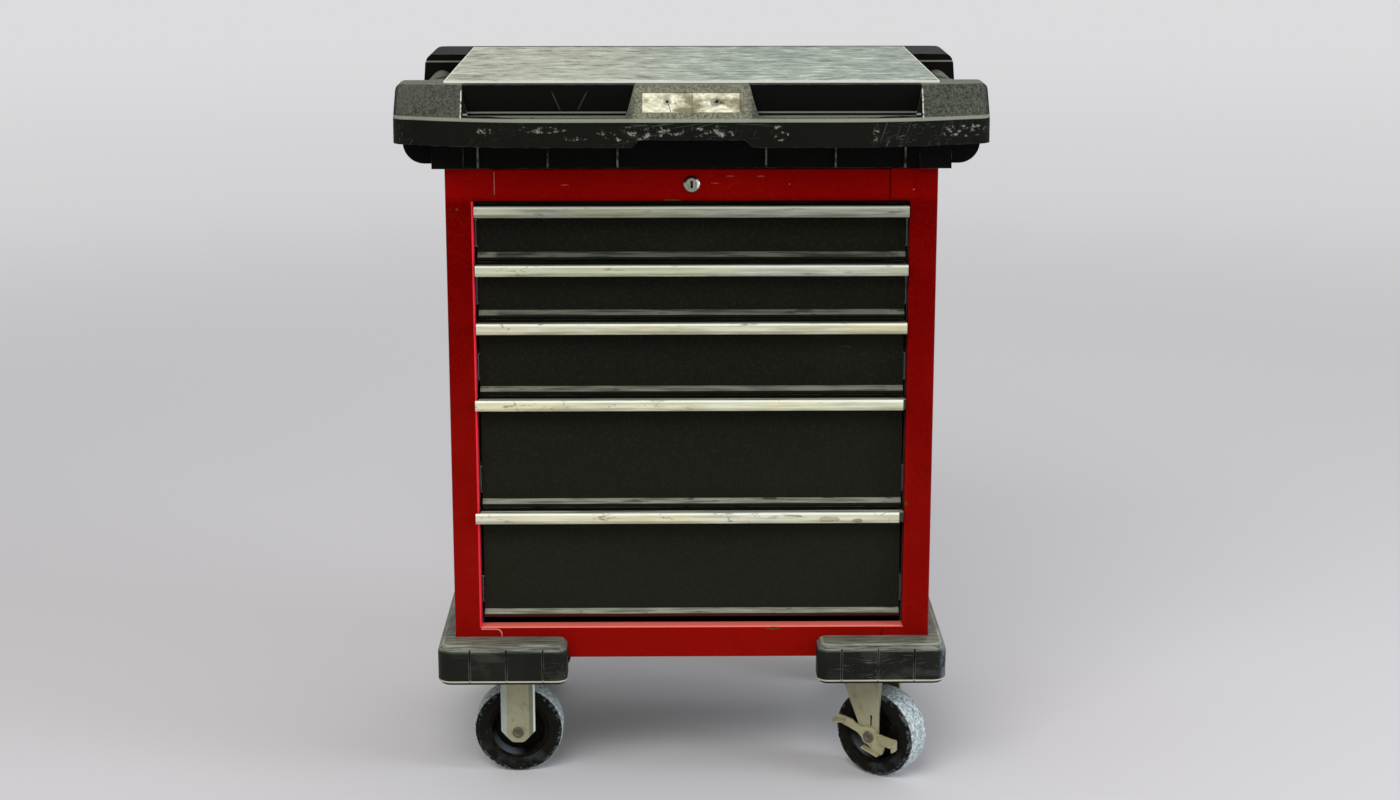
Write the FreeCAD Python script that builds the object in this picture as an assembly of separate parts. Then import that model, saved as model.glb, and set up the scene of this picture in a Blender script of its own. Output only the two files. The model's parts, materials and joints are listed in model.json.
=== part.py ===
import FreeCAD, Part
import math
import os

from FreeCAD import Vector

# Rolling tool cabinet with five drawers, a moulded top tray, corner bumpers and four castors.
# Millimetres. +Z is up, +Y goes to the back and +X to the right, as seen from the drawers.
# The origin is on the floor, under the middle of the tray, which is the widest and deepest piece.

# Overall sizes
TRAY_W = 780.0
TRAY_D = 588.0
WORKTOP_TOP = 986.0
BODY_W = 655.0
BODY_D = 455.0
BODY_BOTTOM = 183.0
BODY_TOP = 866.0
TRAY_OVERHANG = 92.0
FRONT = -TRAY_D / 2 + TRAY_OVERHANG
BACK = FRONT + BODY_D
BODY_X = BODY_W / 2

# Sheet steel of the cabinet
STEEL = 1.2
HEAVY = 2.5
BEND = 1.2
OPENING_X = 291.0
OPENING_BOTTOM = 228.0
OPENING_TOP = 822.0
STILE_RETURN = 18.0
RAIL_RETURN = 20.0
RAIL_X = BODY_X - STEEL - BEND
TAB_X = 263.0
TAB_GAP = 2.0
TAB_TOP_GAP = 4.0
TAB_ROUND = 8.0

# Drawers, from the top one down, in modules of the front's height
MODULE = 26.42
DRAWER_MODULES = (3, 3, 4, 6, 6)
DRAWER_GAP = 1.4
FIRST_TOP = 818.6
RECESS = 16.0
FACE = FRONT + RECESS
FRONT_X = 287.0
FRONT_FOLD = 14.0
BEAD_OUT = 6.0
BEAD_FLAT = 5.0
BOX_X = 278.3
BOX_WALL = 1.0
BOX_LOWER = 8.0
BOX_UPPER = 14.0
BOX_BACK = 216.0

# Telescopic slides, three members a side
SLIDE_FRONT = -168.0
SLIDE_LENGTH = 380.0
SLIDE_SHEET = 1.2
SLIDE_ABOVE_FLOOR = 26.0
CABINET_MEMBER = (19.0, OPENING_X, 280.8)
MIDDLE_MEMBER = (16.8, 288.1, 279.9)
DRAWER_MEMBER = (14.6, BOX_X, 285.6)
UPRIGHT_Y = ((-180.0, -140.0), (150.0, 200.0))

# Drawer handles, a plastic base and an aluminium cover that slides on it
HANDLE_X = 289.0
HANDLE_OUT = 12.3
HANDLE_DEPTH = 9.8
COVER_H = 14.8
COVER_TOP = 1.7
COVER_SHEET = 1.2
COVER_FLANGE = 2.4
COVER_SHIFT = (0.0, 0.0, 0.0, -3.4, -6.0)

# Lock in the top rail, with a rod to a lock bar at the back
LOCK_Z = 845.5
BEZEL_R = 11.0
BARREL_R = 9.0
PLUG_R = 7.0
RUNNING = 0.05
ROD_R = 4.0
CRANK_R = 12.0
CRANK_PIN_R = 2.5
CRANK_Y = 222.0
BAR_Y = 229.0
BAR_SHEET = 2.0
BAR_HALF = 12.0
BAR_BOTTOM = 262.0
BAR_TOP = 858.0

# Top tray
RIM_TOP = 983.0
RIM_FRONT = -260.0
RIM_SWEEP = 14.0
LIP_Z = 938.7
LIP_SWEEP = 35.0
FRONT_FLAT = 190.0
BAND_BOTTOM = 905.6
TUB_BOTTOM = 874.0
SKIRT_BOTTOM = 868.0
SKIRT_X = 343.0
TRAY_WALL = 5.0
NOTCH_X = 326.0
NOTCH_FRONT = FRONT + 8.0
NOTCH_BACK = FRONT + 364.0
WORKTOP_W = 646.0
WORKTOP_Y = (FRONT - 30.0, FRONT + 450.0)
WORKTOP_T = 6.0
POCKET_X = (73.0, 298.0)
POCKET_FLOOR = 914.0
POCKET_BACK = RIM_FRONT + 6.0
POCKET_SIGHT = 944.5
POCKET_LEAN = 10.5

# Side grips
GRIP_X = 362.0
GRIP_Z = 945.0
GRIP_R = 15.0
GRIP_CORE_R = 10.0

# Bumpers
BUMPER_X = 350.0
BUMPER_INNER = 172.0
BUMPER_OUT = 40.0
BUMPER_BOTTOM = 157.0
BUMPER_TOP = 214.0
GROOVE_PITCH = 50.0

# Castors
CHANNEL_BOTTOM = 166.0
CHANNEL_X = (181.0, 295.0)
WHEEL_R = 62.5
TYRE_W = 46.0
RIM_R = 42.0
HUB_W = 52.0
AXLE_R = 6.0
KING_R = 6.0
FORK_GAP = 56.0
FORK_SHEET = 3.0
TRAIL = 44.0
FIXED_X = -245.0
SWIVEL_X = 232.0
CASTOR_Y = (FRONT + 58.0, BACK - 58.0)
PLATE_T = 4.0
PLATE_HALF = (48.0, 36.0)
BOLT_AT = (38.0, 26.0)
FRONT_TURN = -36.0
REAR_TURN = 18.0


def box(x0, x1, y0, y1, z0, z1):
    """A block between two corners, given as pairs along X, Y and Z."""
    low = Vector(min(x0, x1), min(y0, y1), min(z0, z1))
    return Part.makeBox(abs(x1 - x0), abs(y1 - y0), abs(z1 - z0), low)


def rod(radius, start, end):
    """A round bar from one point to another."""
    along = Vector(*end) - Vector(*start)
    return Part.makeCylinder(radius, along.Length, Vector(*start), along)


def fuse(shapes):
    """One clean solid from several that touch."""
    first = shapes[0]
    whole = first.fuse(shapes[1:]) if len(shapes) > 1 else first
    return whole.removeSplitter()


def cut(shape, tools):
    """The shape with every tool taken away."""
    return shape.cut(tools).removeSplitter()


def mirror_x(shape):
    """The shape on the other side of the middle plane."""
    return shape.mirror(Vector(0, 0, 0), Vector(1, 0, 0))


def plane_point(plane, a, b, c):
    """Puts a profile's two numbers and the extrusion's number on X, Y and Z."""
    if plane == "xy":
        return Vector(a, b, c)
    if plane == "yz":
        return Vector(c, a, b)
    return Vector(a, c, b)


def polygon(points, plane, start, end):
    """A straight-sided outline in a plane, extruded from start to end."""
    corners = [plane_point(plane, a, b, start) for a, b in points]
    face = Part.Face(Part.makePolygon(corners + corners[:1]))
    return face.extrude(plane_point(plane, 0.0, 0.0, end - start))


def rounded_corner(before, corner, after, radius):
    """Start, middle and end of the arc that rounds a corner of an outline."""
    u = (before - corner).normalize()
    v = (after - corner).normalize()
    half = u.getAngle(v) / 2
    reach = radius / math.tan(half)
    bisector = (u + v).normalize()
    centre = corner + bisector * (radius / math.sin(half))
    return corner + u * reach, centre - bisector * radius, corner + v * reach


def rounded_wire(points, radii, closed=True):
    """Straight runs joined by tangent arcs. A radius of 0 keeps the corner sharp."""
    count = len(points)
    starts, ends, edges = [], [], []
    for i, point in enumerate(points):
        on_end = not closed and i in (0, count - 1)
        if radii[i] == 0 or on_end:
            starts.append(point)
            ends.append(point)
            continue
        a, m, b = rounded_corner(points[i - 1], point, points[(i + 1) % count], radii[i])
        edges.append(Part.Arc(a, m, b).toShape())
        starts.append(a)
        ends.append(b)
    for i in range(count if closed else count - 1):
        a, b = ends[i], starts[(i + 1) % count]
        if (b - a).Length > 1e-6:
            edges.append(Part.LineSegment(a, b).toShape())
    return Part.Wire(Part.__sortEdges__(edges))


def rounded_prism(points, radii, plane, start, end):
    """An outline with rounded corners, extruded from start to end."""
    if not isinstance(radii, (list, tuple)):
        radii = [radii] * len(points)
    corners = [plane_point(plane, a, b, start) for a, b in points]
    face = Part.Face(rounded_wire(corners, radii))
    return face.extrude(plane_point(plane, 0.0, 0.0, end - start))


def folded_sheet(points, thickness, bend, plane, start, end):
    """Sheet metal folded along a path: the points are its outer side, the metal lies to their left."""
    count = len(points)
    runs = []
    for (ax, ay), (bx, by) in zip(points, points[1:]):
        length = math.hypot(bx - ax, by - ay)
        runs.append(((bx - ax) / length, (by - ay) / length))
    outer, inner, outer_r, inner_r = [], [], [], []
    for i, (px, py) in enumerate(points):
        before = runs[max(i - 1, 0)]
        after = runs[min(i, count - 2)]
        turn = before[0] * after[1] - before[1] * after[0]
        cosine = before[0] * after[0] + before[1] * after[1]
        nx, ny = -before[1] - after[1], before[0] + after[0]
        scale = thickness / (1.0 + cosine)
        outer.append(plane_point(plane, px, py, start))
        inner.append(plane_point(plane, px + nx * scale, py + ny * scale, start))
        outer_r.append(bend if turn < 0 else bend + thickness)
        inner_r.append(bend + thickness if turn < 0 else bend)
    loop = outer + inner[::-1]
    radii = outer_r + inner_r[::-1]
    for end_corner in (0, count - 1, count, 2 * count - 1):
        radii[end_corner] = 0
    face = Part.Face(rounded_wire(loop, radii))
    return face.extrude(plane_point(plane, 0.0, 0.0, end - start))


def revolved(points, centre, axis):
    """A closed outline of (radius, along) points turned round an axis that lies along Y at first."""
    corners = [Vector(r, along, 0.0) for r, along in points]
    face = Part.Face(Part.makePolygon(corners + corners[:1]))
    solid = face.revolve(Vector(0, 0, 0), Vector(0, 1, 0), 360.0)
    solid.rotate(Vector(0, 0, 0), Vector(0, 0, 1), axis)
    solid.translate(centre)
    return solid


# Cabinet shell


def side_panel():
    """Right side wall, folded at the front into the stile and its return, and at the back."""
    x = BODY_X
    return_z = (OPENING_BOTTOM, OPENING_TOP)
    wall_path = [
        (x - 26.0, BACK - STEEL),
        (x, BACK - STEEL),
        (x, FRONT),
        (OPENING_X, FRONT),
    ]
    wall = folded_sheet(wall_path[::-1], STEEL, BEND, "xy", BODY_BOTTOM, BODY_TOP)
    stile_return = box(OPENING_X, OPENING_X + STEEL, FRONT + BEND, FRONT + STILE_RETURN, *return_z)
    bend_strip = box(OPENING_X, OPENING_X + 2 * STEEL, FRONT, FRONT + STEEL + BEND, *return_z)
    tab_z = OPENING_BOTTOM - TAB_GAP
    low_tab = rounded_prism(
        [
            (OPENING_X + STEEL, BODY_BOTTOM),
            (OPENING_X + STEEL, tab_z),
            (TAB_X, tab_z),
            (TAB_X, BODY_BOTTOM),
        ],
        [0, 0, TAB_ROUND, 0],
        "xz",
        FRONT,
        FRONT + STEEL,
    )
    high_tab = box(TAB_X + 2, OPENING_X + STEEL, FRONT, FRONT + STEEL, OPENING_TOP + TAB_TOP_GAP, BODY_TOP)
    return fuse([wall, stile_return, bend_strip, low_tab, high_tab])


def top_rail():
    """Front rail over the drawers, folded back at its top and bottom, with the lock's hole."""
    y = FRONT + STEEL
    path = [
        (FRONT + RAIL_RETURN, OPENING_TOP),
        (y, OPENING_TOP),
        (y, BODY_TOP),
        (FRONT + RAIL_RETURN, BODY_TOP),
    ]
    rail = folded_sheet(path[::-1], STEEL, BEND, "yz", -RAIL_X, RAIL_X)
    hole = rod(BARREL_R + 0.1, (0, FRONT - 5, LOCK_Z), (0, FRONT + 10, LOCK_Z))
    return cut(rail, [hole])


def bottom_rail():
    """Front rail under the drawers."""
    y = FRONT + STEEL
    path = [
        (FRONT + RAIL_RETURN, OPENING_BOTTOM),
        (y, OPENING_BOTTOM),
        (y, BODY_BOTTOM),
        (FRONT + RAIL_RETURN / 2, BODY_BOTTOM),
    ]
    return folded_sheet(path, STEEL, BEND, "yz", -RAIL_X, RAIL_X)


def bar_guide(z):
    """A C-shaped guide on the back panel, in which the lock bar slides."""
    wall = BACK - STEEL
    inner = BAR_HALF + 0.5
    outer = inner + 6.0
    plan = [
        (-outer, wall),
        (-outer, BAR_Y - 3.0),
        (-8.0, BAR_Y - 3.0),
        (-8.0, BAR_Y - 0.5),
        (-inner, BAR_Y - 0.5),
        (-inner, BAR_Y + BAR_SHEET + 0.5),
        (inner, BAR_Y + BAR_SHEET + 0.5),
        (inner, BAR_Y - 0.5),
        (8.0, BAR_Y - 0.5),
        (8.0, BAR_Y - 3.0),
        (outer, BAR_Y - 3.0),
        (outer, wall),
    ]
    return polygon(plan, "xy", z, z + 20.0)


def back_panel():
    """Flat back with two pressed ribs and the lock bar's guides."""
    sheet = box(-BODY_X, BODY_X, BACK - STEEL, BACK, BODY_BOTTOM, BODY_TOP)
    ribs, hollows = [], []
    for z in (360.0, 690.0):
        outline = [(-250.0, z - 15.0), (250.0, z - 15.0), (250.0, z + 15.0), (-250.0, z + 15.0)]
        ribs.append(rounded_prism(outline, 14.0, "xz", BACK, BACK + 2.5))
        inside = [(-249.0, z - 14.0), (249.0, z - 14.0), (249.0, z + 14.0), (-249.0, z + 14.0)]
        hollows.append(rounded_prism(inside, 13.0, "xz", BACK - STEEL, BACK + 1.3))
    guides = [bar_guide(300.0), bar_guide(730.0)]
    return fuse([cut(fuse([sheet] + ribs), hollows)] + guides)


def bottom_pan():
    """Floor of the cabinet, folded up along both sides."""
    x = BODY_X - STEEL
    path = [(-x, BODY_BOTTOM + 18.0), (-x, BODY_BOTTOM), (x, BODY_BOTTOM), (x, BODY_BOTTOM + 18.0)]
    return folded_sheet(path, 1.5, BEND, "xz", FRONT + 12.0, BACK - 12.0)


def castor_channel(side):
    """Hat channel under the floor, which carries the two castors of one side."""
    inner, outer = CHANNEL_X
    path = [
        (outer + 16.0, BODY_BOTTOM - HEAVY),
        (outer, BODY_BOTTOM - HEAVY),
        (outer, CHANNEL_BOTTOM),
        (inner, CHANNEL_BOTTOM),
        (inner, BODY_BOTTOM - HEAVY),
        (inner - 16.0, BODY_BOTTOM - HEAVY),
    ]
    channel = folded_sheet(path[::-1], HEAVY, BEND, "xz", FRONT + 14.0, BACK - 14.0)
    x = FIXED_X if side < 0 else SWIVEL_X
    if side < 0:
        channel = mirror_x(channel)
    holes = []
    for bx, by in bolt_places(x):
        holes.append(rod(4.3, (bx, by, CHANNEL_BOTTOM - 5), (bx, by, CHANNEL_BOTTOM + 5)))
    return cut(channel, holes)


def bolt_places(x):
    """The eight bolts of the two castors in line at this X."""
    places = []
    for y in CASTOR_Y:
        for sx in (-1, 1):
            for sy in (-1, 1):
                places.append((x + sx * BOLT_AT[0], y + sy * BOLT_AT[1]))
    return places


def top_deck():
    """Steel lid of the cabinet, which the tray stands on."""
    return box(-BODY_X + 2, BODY_X - 2, FRONT + RAIL_RETURN + 0.5, BACK - 3.5, BODY_TOP - 1.5, BODY_TOP)


def slide_uprights():
    """Channels inside each side wall, which carry the slides."""
    channels = []
    outer = BODY_X - STEEL
    for y0, y1 in UPRIGHT_Y:
        path = [(outer, y1), (OPENING_X, y1), (OPENING_X, y0), (outer, y0)]
        bottom, top = BODY_BOTTOM + 20.0, BODY_TOP - 3.0
        channels.append(folded_sheet(path, 1.5, BEND, "xy", bottom, top))
    return Part.makeCompound(channels + [mirror_x(c) for c in channels])


# Drawers and their slides


def drawer_fronts():
    """Top and bottom of each drawer's front, worked out from the modules."""
    fronts = []
    top = FIRST_TOP
    for modules in DRAWER_MODULES:
        bottom = top - modules * MODULE + DRAWER_GAP
        fronts.append((top, bottom))
        top -= modules * MODULE
    return fronts


FRONTS = drawer_fronts()


def drawer(top, bottom):
    """One drawer: a folded front with a bead along its foot, and an open steel box behind it."""
    path = [
        (FACE + FRONT_FOLD - 2.0, top),
        (FACE, top),
        (FACE, bottom + BEAD_FLAT + BEAD_OUT),
        (FACE - BEAD_OUT, bottom + BEAD_FLAT),
        (FACE - BEAD_OUT, bottom),
        (FACE + FRONT_FOLD + BOX_WALL, bottom),
    ]
    face = folded_sheet(path, STEEL, 0.8, "yz", -FRONT_X, FRONT_X)
    y0 = FACE + FRONT_FOLD
    z0, z1 = bottom + BOX_LOWER, top - BOX_UPPER
    outer = box(-BOX_X, BOX_X, y0, BOX_BACK, z0, z1)
    hollow = box(
        -BOX_X + BOX_WALL, BOX_X - BOX_WALL, y0 + BOX_WALL, BOX_BACK - BOX_WALL, z0 + BOX_WALL, z1 + 1
    )
    joint = box(-BOX_X, BOX_X, y0, y0 + BOX_WALL, bottom + STEEL / 2, z0 + BOX_WALL)
    ends = []
    for side in (-1, 1):
        x = side * FRONT_X
        ends.append(box(x, x - side * STEEL, FACE + 0.4, y0 - 2.5, bottom + STEEL / 2, top - STEEL / 2))
    return fuse([face, cut(outer, [hollow]), joint] + ends)


def slide_member(member, z, inwards):
    """One C-shaped slide member on the right side: web, then two lips towards or from the drawer."""
    half, web_x, lip_x = member
    web_inner = web_x - SLIDE_SHEET if inwards else web_x + SLIDE_SHEET
    y = (SLIDE_FRONT, SLIDE_FRONT + SLIDE_LENGTH)
    web = box(web_x, web_inner, *y, z - half, z + half)
    low = box(web_x, lip_x, *y, z - half, z - half + SLIDE_SHEET)
    high = box(web_x, lip_x, *y, z + half - SLIDE_SHEET, z + half)
    return fuse([web, low, high])


def slide_pair(member, z, inwards):
    """The same member on both sides of one drawer."""
    right = slide_member(member, z, inwards)
    return [right, mirror_x(right)]


def slide_height(index):
    """Middle height of a drawer's slides."""
    return FRONTS[index][1] + BOX_LOWER + SLIDE_ABOVE_FLOOR


def handle_base(top):
    """Plastic profile screwed to the drawer's face, with the nose and the ridge that hold the cover."""
    nose_front = FRONT - HANDLE_OUT + COVER_SHEET
    nose_back = FRONT - HANDLE_OUT + HANDLE_DEPTH
    nose_top = top - COVER_TOP - COVER_SHEET
    nose_bottom = top - COVER_TOP - COVER_H + COVER_SHEET
    ridge_front = FRONT - HANDLE_OUT + COVER_FLANGE + 0.2
    ridge_top = top - 1.2
    corner = 0.8
    profile = [
        (FACE, top - 3.2),
        (ridge_front + 5.4, top - 3.2),
        (ridge_front + 3.6, ridge_top),
        (ridge_front + corner, ridge_top),
        (ridge_front, ridge_top - corner),
        (ridge_front, nose_top),
        (nose_front + corner, nose_top),
        (nose_front, nose_top - corner),
        (nose_front, nose_bottom + corner),
        (nose_front + corner, nose_bottom),
        (nose_back - 2.0, nose_bottom),
        (nose_back, nose_bottom + 2.0),
        (nose_back, top - 6.0),
        (FACE - 4.0, top - 6.0),
        (FACE - 3.0, top - 16.0),
        (FACE, top - 16.0),
    ]
    return polygon(profile, "yz", -HANDLE_X, HANDLE_X)


def handle_cover(top, shift):
    """Brushed aluminium cover that clips over the front of the handle's nose."""
    front = FRONT - HANDLE_OUT
    high = top - COVER_TOP
    path = [
        (front + COVER_FLANGE, high),
        (front, high),
        (front, high - COVER_H),
        (front + COVER_FLANGE, high - COVER_H),
    ]
    return folded_sheet(path, COVER_SHEET, 0.6, "yz", shift - HANDLE_X, shift + HANDLE_X)


# Lock


def lock_housing():
    """Chromed bezel and the threaded barrel behind the rail."""
    front = FRONT + STEEL
    bezel = rod(BEZEL_R, (0, front - 4.6, LOCK_Z), (0, front, LOCK_Z))
    bezel = bezel.makeChamfer(1.4, [e for e in bezel.Edges if abs(e.CenterOfMass.y - front + 4.6) < 0.01])
    barrel = rod(BARREL_R, (0, front, LOCK_Z), (0, front + 22, LOCK_Z))
    nut = rod(BEZEL_R + 1.5, (0, front + STEEL, LOCK_Z), (0, front + STEEL + 5, LOCK_Z))
    bore = rod(PLUG_R + RUNNING, (0, front - 10, LOCK_Z), (0, front + 30, LOCK_Z))
    return cut(fuse([bezel, barrel, nut]), [bore])


def lock_plug():
    """Turning core with its keyway."""
    front = FRONT + STEEL - 4.2
    core = rod(PLUG_R, (0, front, LOCK_Z), (0, FRONT + 26, LOCK_Z))
    keyway = box(-1.1, 1.1, front - 1, front + 9, LOCK_Z - 4.6, LOCK_Z + 4.6)
    return cut(core, [keyway])


def lock_rod():
    """Rod from the plug to the back, ending in a crank whose pin drives the lock bar."""
    shaft = rod(ROD_R, (0, FRONT + 26, LOCK_Z), (0, CRANK_Y + 3, LOCK_Z))
    low, high, tip = LOCK_Z - 7.0, LOCK_Z + 7.0, CRANK_R + 6.0
    outline = [(-8.0, low), (tip, low), (tip, high), (-8.0, high)]
    arm = rounded_prism(outline, 5.0, "xz", CRANK_Y, CRANK_Y + 3)
    pin = rod(CRANK_PIN_R, (CRANK_R, CRANK_Y + 3, LOCK_Z), (CRANK_R, CRANK_Y + 13, LOCK_Z))
    return fuse([shaft, arm, pin])


def lock_bar():
    """Upright bar that the crank lowers, with a hook behind each drawer."""
    strip = box(-BAR_HALF, BAR_HALF, BAR_Y, BAR_Y + BAR_SHEET, BAR_BOTTOM, BAR_TOP)
    head = box(BAR_HALF - 1, CRANK_R + 9, BAR_Y, BAR_Y + BAR_SHEET, LOCK_Z - 12, BAR_TOP)
    slot = box(-4.0, CRANK_R + 4.2, BAR_Y - 1, BAR_Y + 4, LOCK_Z - 5.4, LOCK_Z + 5.4)
    hooks = []
    for top, _ in FRONTS:
        z = top - BOX_UPPER - 16.0
        hooks.append(box(-BAR_HALF, BAR_HALF, BAR_Y - 10, BAR_Y + 1, z, z + 2))
    return cut(fuse([strip, head] + hooks), [slot])


# Top tray, worktop and grips


def tray_outline(z, half, front, sweep, back, corner):
    """Plan outline of the tray at one height: front flat in the middle and swept back to its corners."""
    flat = FRONT_FLAT
    corner_y = front + sweep
    swept = half - corner
    rise = math.hypot(swept - flat, sweep)
    radius = rise * rise / (2.0 * sweep)
    turn = math.asin((swept - flat) / radius) / 2.0
    bow = Vector(flat + radius * math.sin(turn), front + radius * (1.0 - math.cos(turn)), z)
    quarter = corner * (1.0 - math.sqrt(0.5))
    right = [
        Part.Arc(Vector(flat, front, z), bow, Vector(swept, corner_y, z)).toShape(),
        Part.Arc(
            Vector(swept, corner_y, z),
            Vector(half - quarter, corner_y + quarter, z),
            Vector(half, corner_y + corner, z),
        ).toShape(),
        Part.LineSegment(Vector(half, corner_y + corner, z), Vector(half, back - corner, z)).toShape(),
        Part.Arc(
            Vector(half, back - corner, z),
            Vector(half - quarter, back - quarter, z),
            Vector(half - corner, back, z),
        ).toShape(),
    ]
    left = [mirror_x(edge) for edge in right]
    front_run = Part.LineSegment(Vector(-flat, front, z), Vector(flat, front, z)).toShape()
    back_run = Part.LineSegment(Vector(half - corner, back, z), Vector(-half + corner, back, z)).toShape()
    edges = [front_run] + right + [back_run] + left[::-1]
    return Part.Wire(Part.__sortEdges__(edges))


def tray_block(lower, upper):
    """Solid between two plan outlines."""
    return Part.makeLoft([tray_outline(*lower), tray_outline(*upper)], True, True)


def notch(side, floor):
    """The open space beside the worktop that the grip bridges, as a plan outline cut down to a floor."""
    outside = side * (TRAY_W / 2 + 5)
    plan = [
        (side * NOTCH_X, FRONT + 75.0),
        (side * (NOTCH_X + 20.0), NOTCH_FRONT),
        (outside, NOTCH_FRONT),
        (outside, NOTCH_BACK),
        (side * NOTCH_X, NOTCH_BACK),
    ]
    return polygon(plan, "xy", floor, WORKTOP_TOP + 5)


def pocket(side):
    """A tool pocket sunk in the front slope, narrower at its foot, with its near wall along the front."""
    inner, outer = POCKET_X
    upper_z = RIM_TOP + 2
    lean = POCKET_LEAN / (upper_z - POCKET_FLOOR)
    seen = slope_y(POCKET_SIGHT)
    wires = []
    for z, inset in ((POCKET_FLOOR, 5.0), (upper_z, 0.0)):
        near = seen - lean * (z - POCKET_SIGHT)
        loop = [
            (inner + inset, POCKET_BACK - inset / 4),
            (outer - inset, POCKET_BACK - inset / 4),
            (outer - 7 - inset, near + 10.4),
            (FRONT_FLAT + 45, near + 2.1),
            (FRONT_FLAT, near),
            (inner + 10 + inset, near),
        ]
        corners = [Vector(side * x, y, z) for x, y in loop]
        wires.append(Part.makePolygon(corners + corners[:1]))
    return Part.makeLoft(wires, True, True)


def slope_y(z):
    """Where the middle of the front slope lies at a height."""
    share = (RIM_TOP - z) / (RIM_TOP - LIP_Z)
    return RIM_FRONT - share * (TRAY_D / 2 + RIM_FRONT)


def plate_recess():
    """Shallow bare recess between the pockets, sunk square to the slope, with its two screw holes."""
    high, low = 975.0, 951.0
    depth = 2.2
    outline = []
    for z, inset in ((high, 0.0), (low, 0.0), (low, depth), (high, depth)):
        outline.append((slope_y(z) + (inset if inset else -12.0), z))
    recess = polygon(outline, "yz", -64.0, 64.0)
    holes = []
    for x in (-32.0, 32.0):
        z = (high + low) / 2
        holes.append(rod(2.0, (x, slope_y(z) - 8, z), (x, slope_y(z) + 9, z)))
    return [recess] + holes


def skirt():
    """Ribbed skirt round the foot of the tray, with a block at each front corner."""
    back = BACK + 9.0
    front = FRONT - 8.0
    ring = box(-SKIRT_X, SKIRT_X, front, back, SKIRT_BOTTOM, BAND_BOTTOM)
    pieces = [ring]
    for side in (-1, 1):
        pieces.append(box(side * 301, side * SKIRT_X, front - 6, front + 1, SKIRT_BOTTOM, BAND_BOTTOM))
        for i in range(3):
            x = side * (98.0 + 92.0 * i)
            pieces.append(box(x - 1.2, x + 1.2, front - 5, front + 1, SKIRT_BOTTOM + 1, BAND_BOTTOM))
    return pieces


def tray_rooms():
    """What the moulding leaves empty underneath, with the crossed ribs between the rooms kept."""
    wall = TRAY_WALL
    roof = WORKTOP_TOP - WORKTOP_T - wall
    below = SKIRT_BOTTOM - 5
    half = TRAY_W / 2
    rooms = []
    for x0, x1 in ((-NOTCH_X + wall, -118.0), (-114.0, 114.0), (118.0, NOTCH_X - wall)):
        for y0, y1 in ((FRONT - 2.0, -32.0), (-28.0, 128.0), (132.0, BACK + 3.0)):
            rooms.append(box(x0, x1, y0, y1, below, roof))
    rooms.append(box(-300.0, 300.0, POCKET_BACK + wall, FRONT - 13.0, BAND_BOTTOM - 5, roof))
    rooms.append(box(-60.0, 60.0, -283.0, POCKET_BACK + wall + 1, BAND_BOTTOM - 5, LIP_Z + 9))
    rooms.append(box(-half + 12, half - 12, BACK + 13.0, TRAY_D / 2 - 9, BAND_BOTTOM - 5, roof))
    for side in (-1, 1):
        x0, x1 = side * (NOTCH_X + 10), side * (half - 12)
        rooms.append(box(side * 306.0, side * 360.0, -244.0, FRONT - 26.0, BAND_BOTTOM - 5, 950.0))
        rooms.append(box(side * 347.0, side * 366.0, FRONT + 2, BACK - 2, below, BAND_BOTTOM - wall))
        rooms.append(box(side * 347.0, side * 366.0, NOTCH_BACK + 30, BACK - 2, below, roof))
        rooms.append(box(x0, x1, NOTCH_BACK + 30, BACK + 14, BAND_BOTTOM - wall, roof))
    return rooms


def tray_bosses():
    """Feet that stand on the steel deck inside the skirt."""
    feet = []
    roof = WORKTOP_TOP - WORKTOP_T - TRAY_WALL
    for x in (-300.0, -116.0, 116.0, 300.0):
        for y in (FRONT + 40.0, BACK - 30.0):
            feet.append(box(x - 9, x + 9, y - 9, y + 9, BODY_TOP, roof + 1))
    return feet


def tray_cuts():
    """Everything cut from the outside of the tray."""
    half = TRAY_W / 2
    mid, back = -TRAY_D / 2, TRAY_D / 2
    seat_x = WORKTOP_W / 2 + 0.5
    seat_y = (WORKTOP_Y[0] - 0.5, WORKTOP_Y[1] + 0.5)
    floor = BAND_BOTTOM
    relief = [(-79.0, floor - 1), (-68.0, floor + 10), (68.0, floor + 10), (79.0, floor - 1)]
    cuts = [
        box(-seat_x, seat_x, *seat_y, WORKTOP_TOP - WORKTOP_T, WORKTOP_TOP + 5),
        polygon(relief, "xz", mid - 5, FRONT - 20),
    ]
    for side in (-1, 1):
        cuts.append(notch(side, floor))
        cuts.append(pocket(side))
        cuts.append(rounded_edge_cutter(side * (half - 4), RIM_TOP, 10.0, mid - 5, NOTCH_FRONT + 1))
        cuts.append(rounded_edge_cutter(side * (half - 4), RIM_TOP, 12.0, NOTCH_BACK - 1, back + 1))
        near, far = NOTCH_FRONT - 24, NOTCH_BACK + 24
        cuts.append(rod(GRIP_CORE_R + 0.1, (side * GRIP_X, near, GRIP_Z), (side * GRIP_X, far, GRIP_Z)))
    return cuts + plate_recess()


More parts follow.
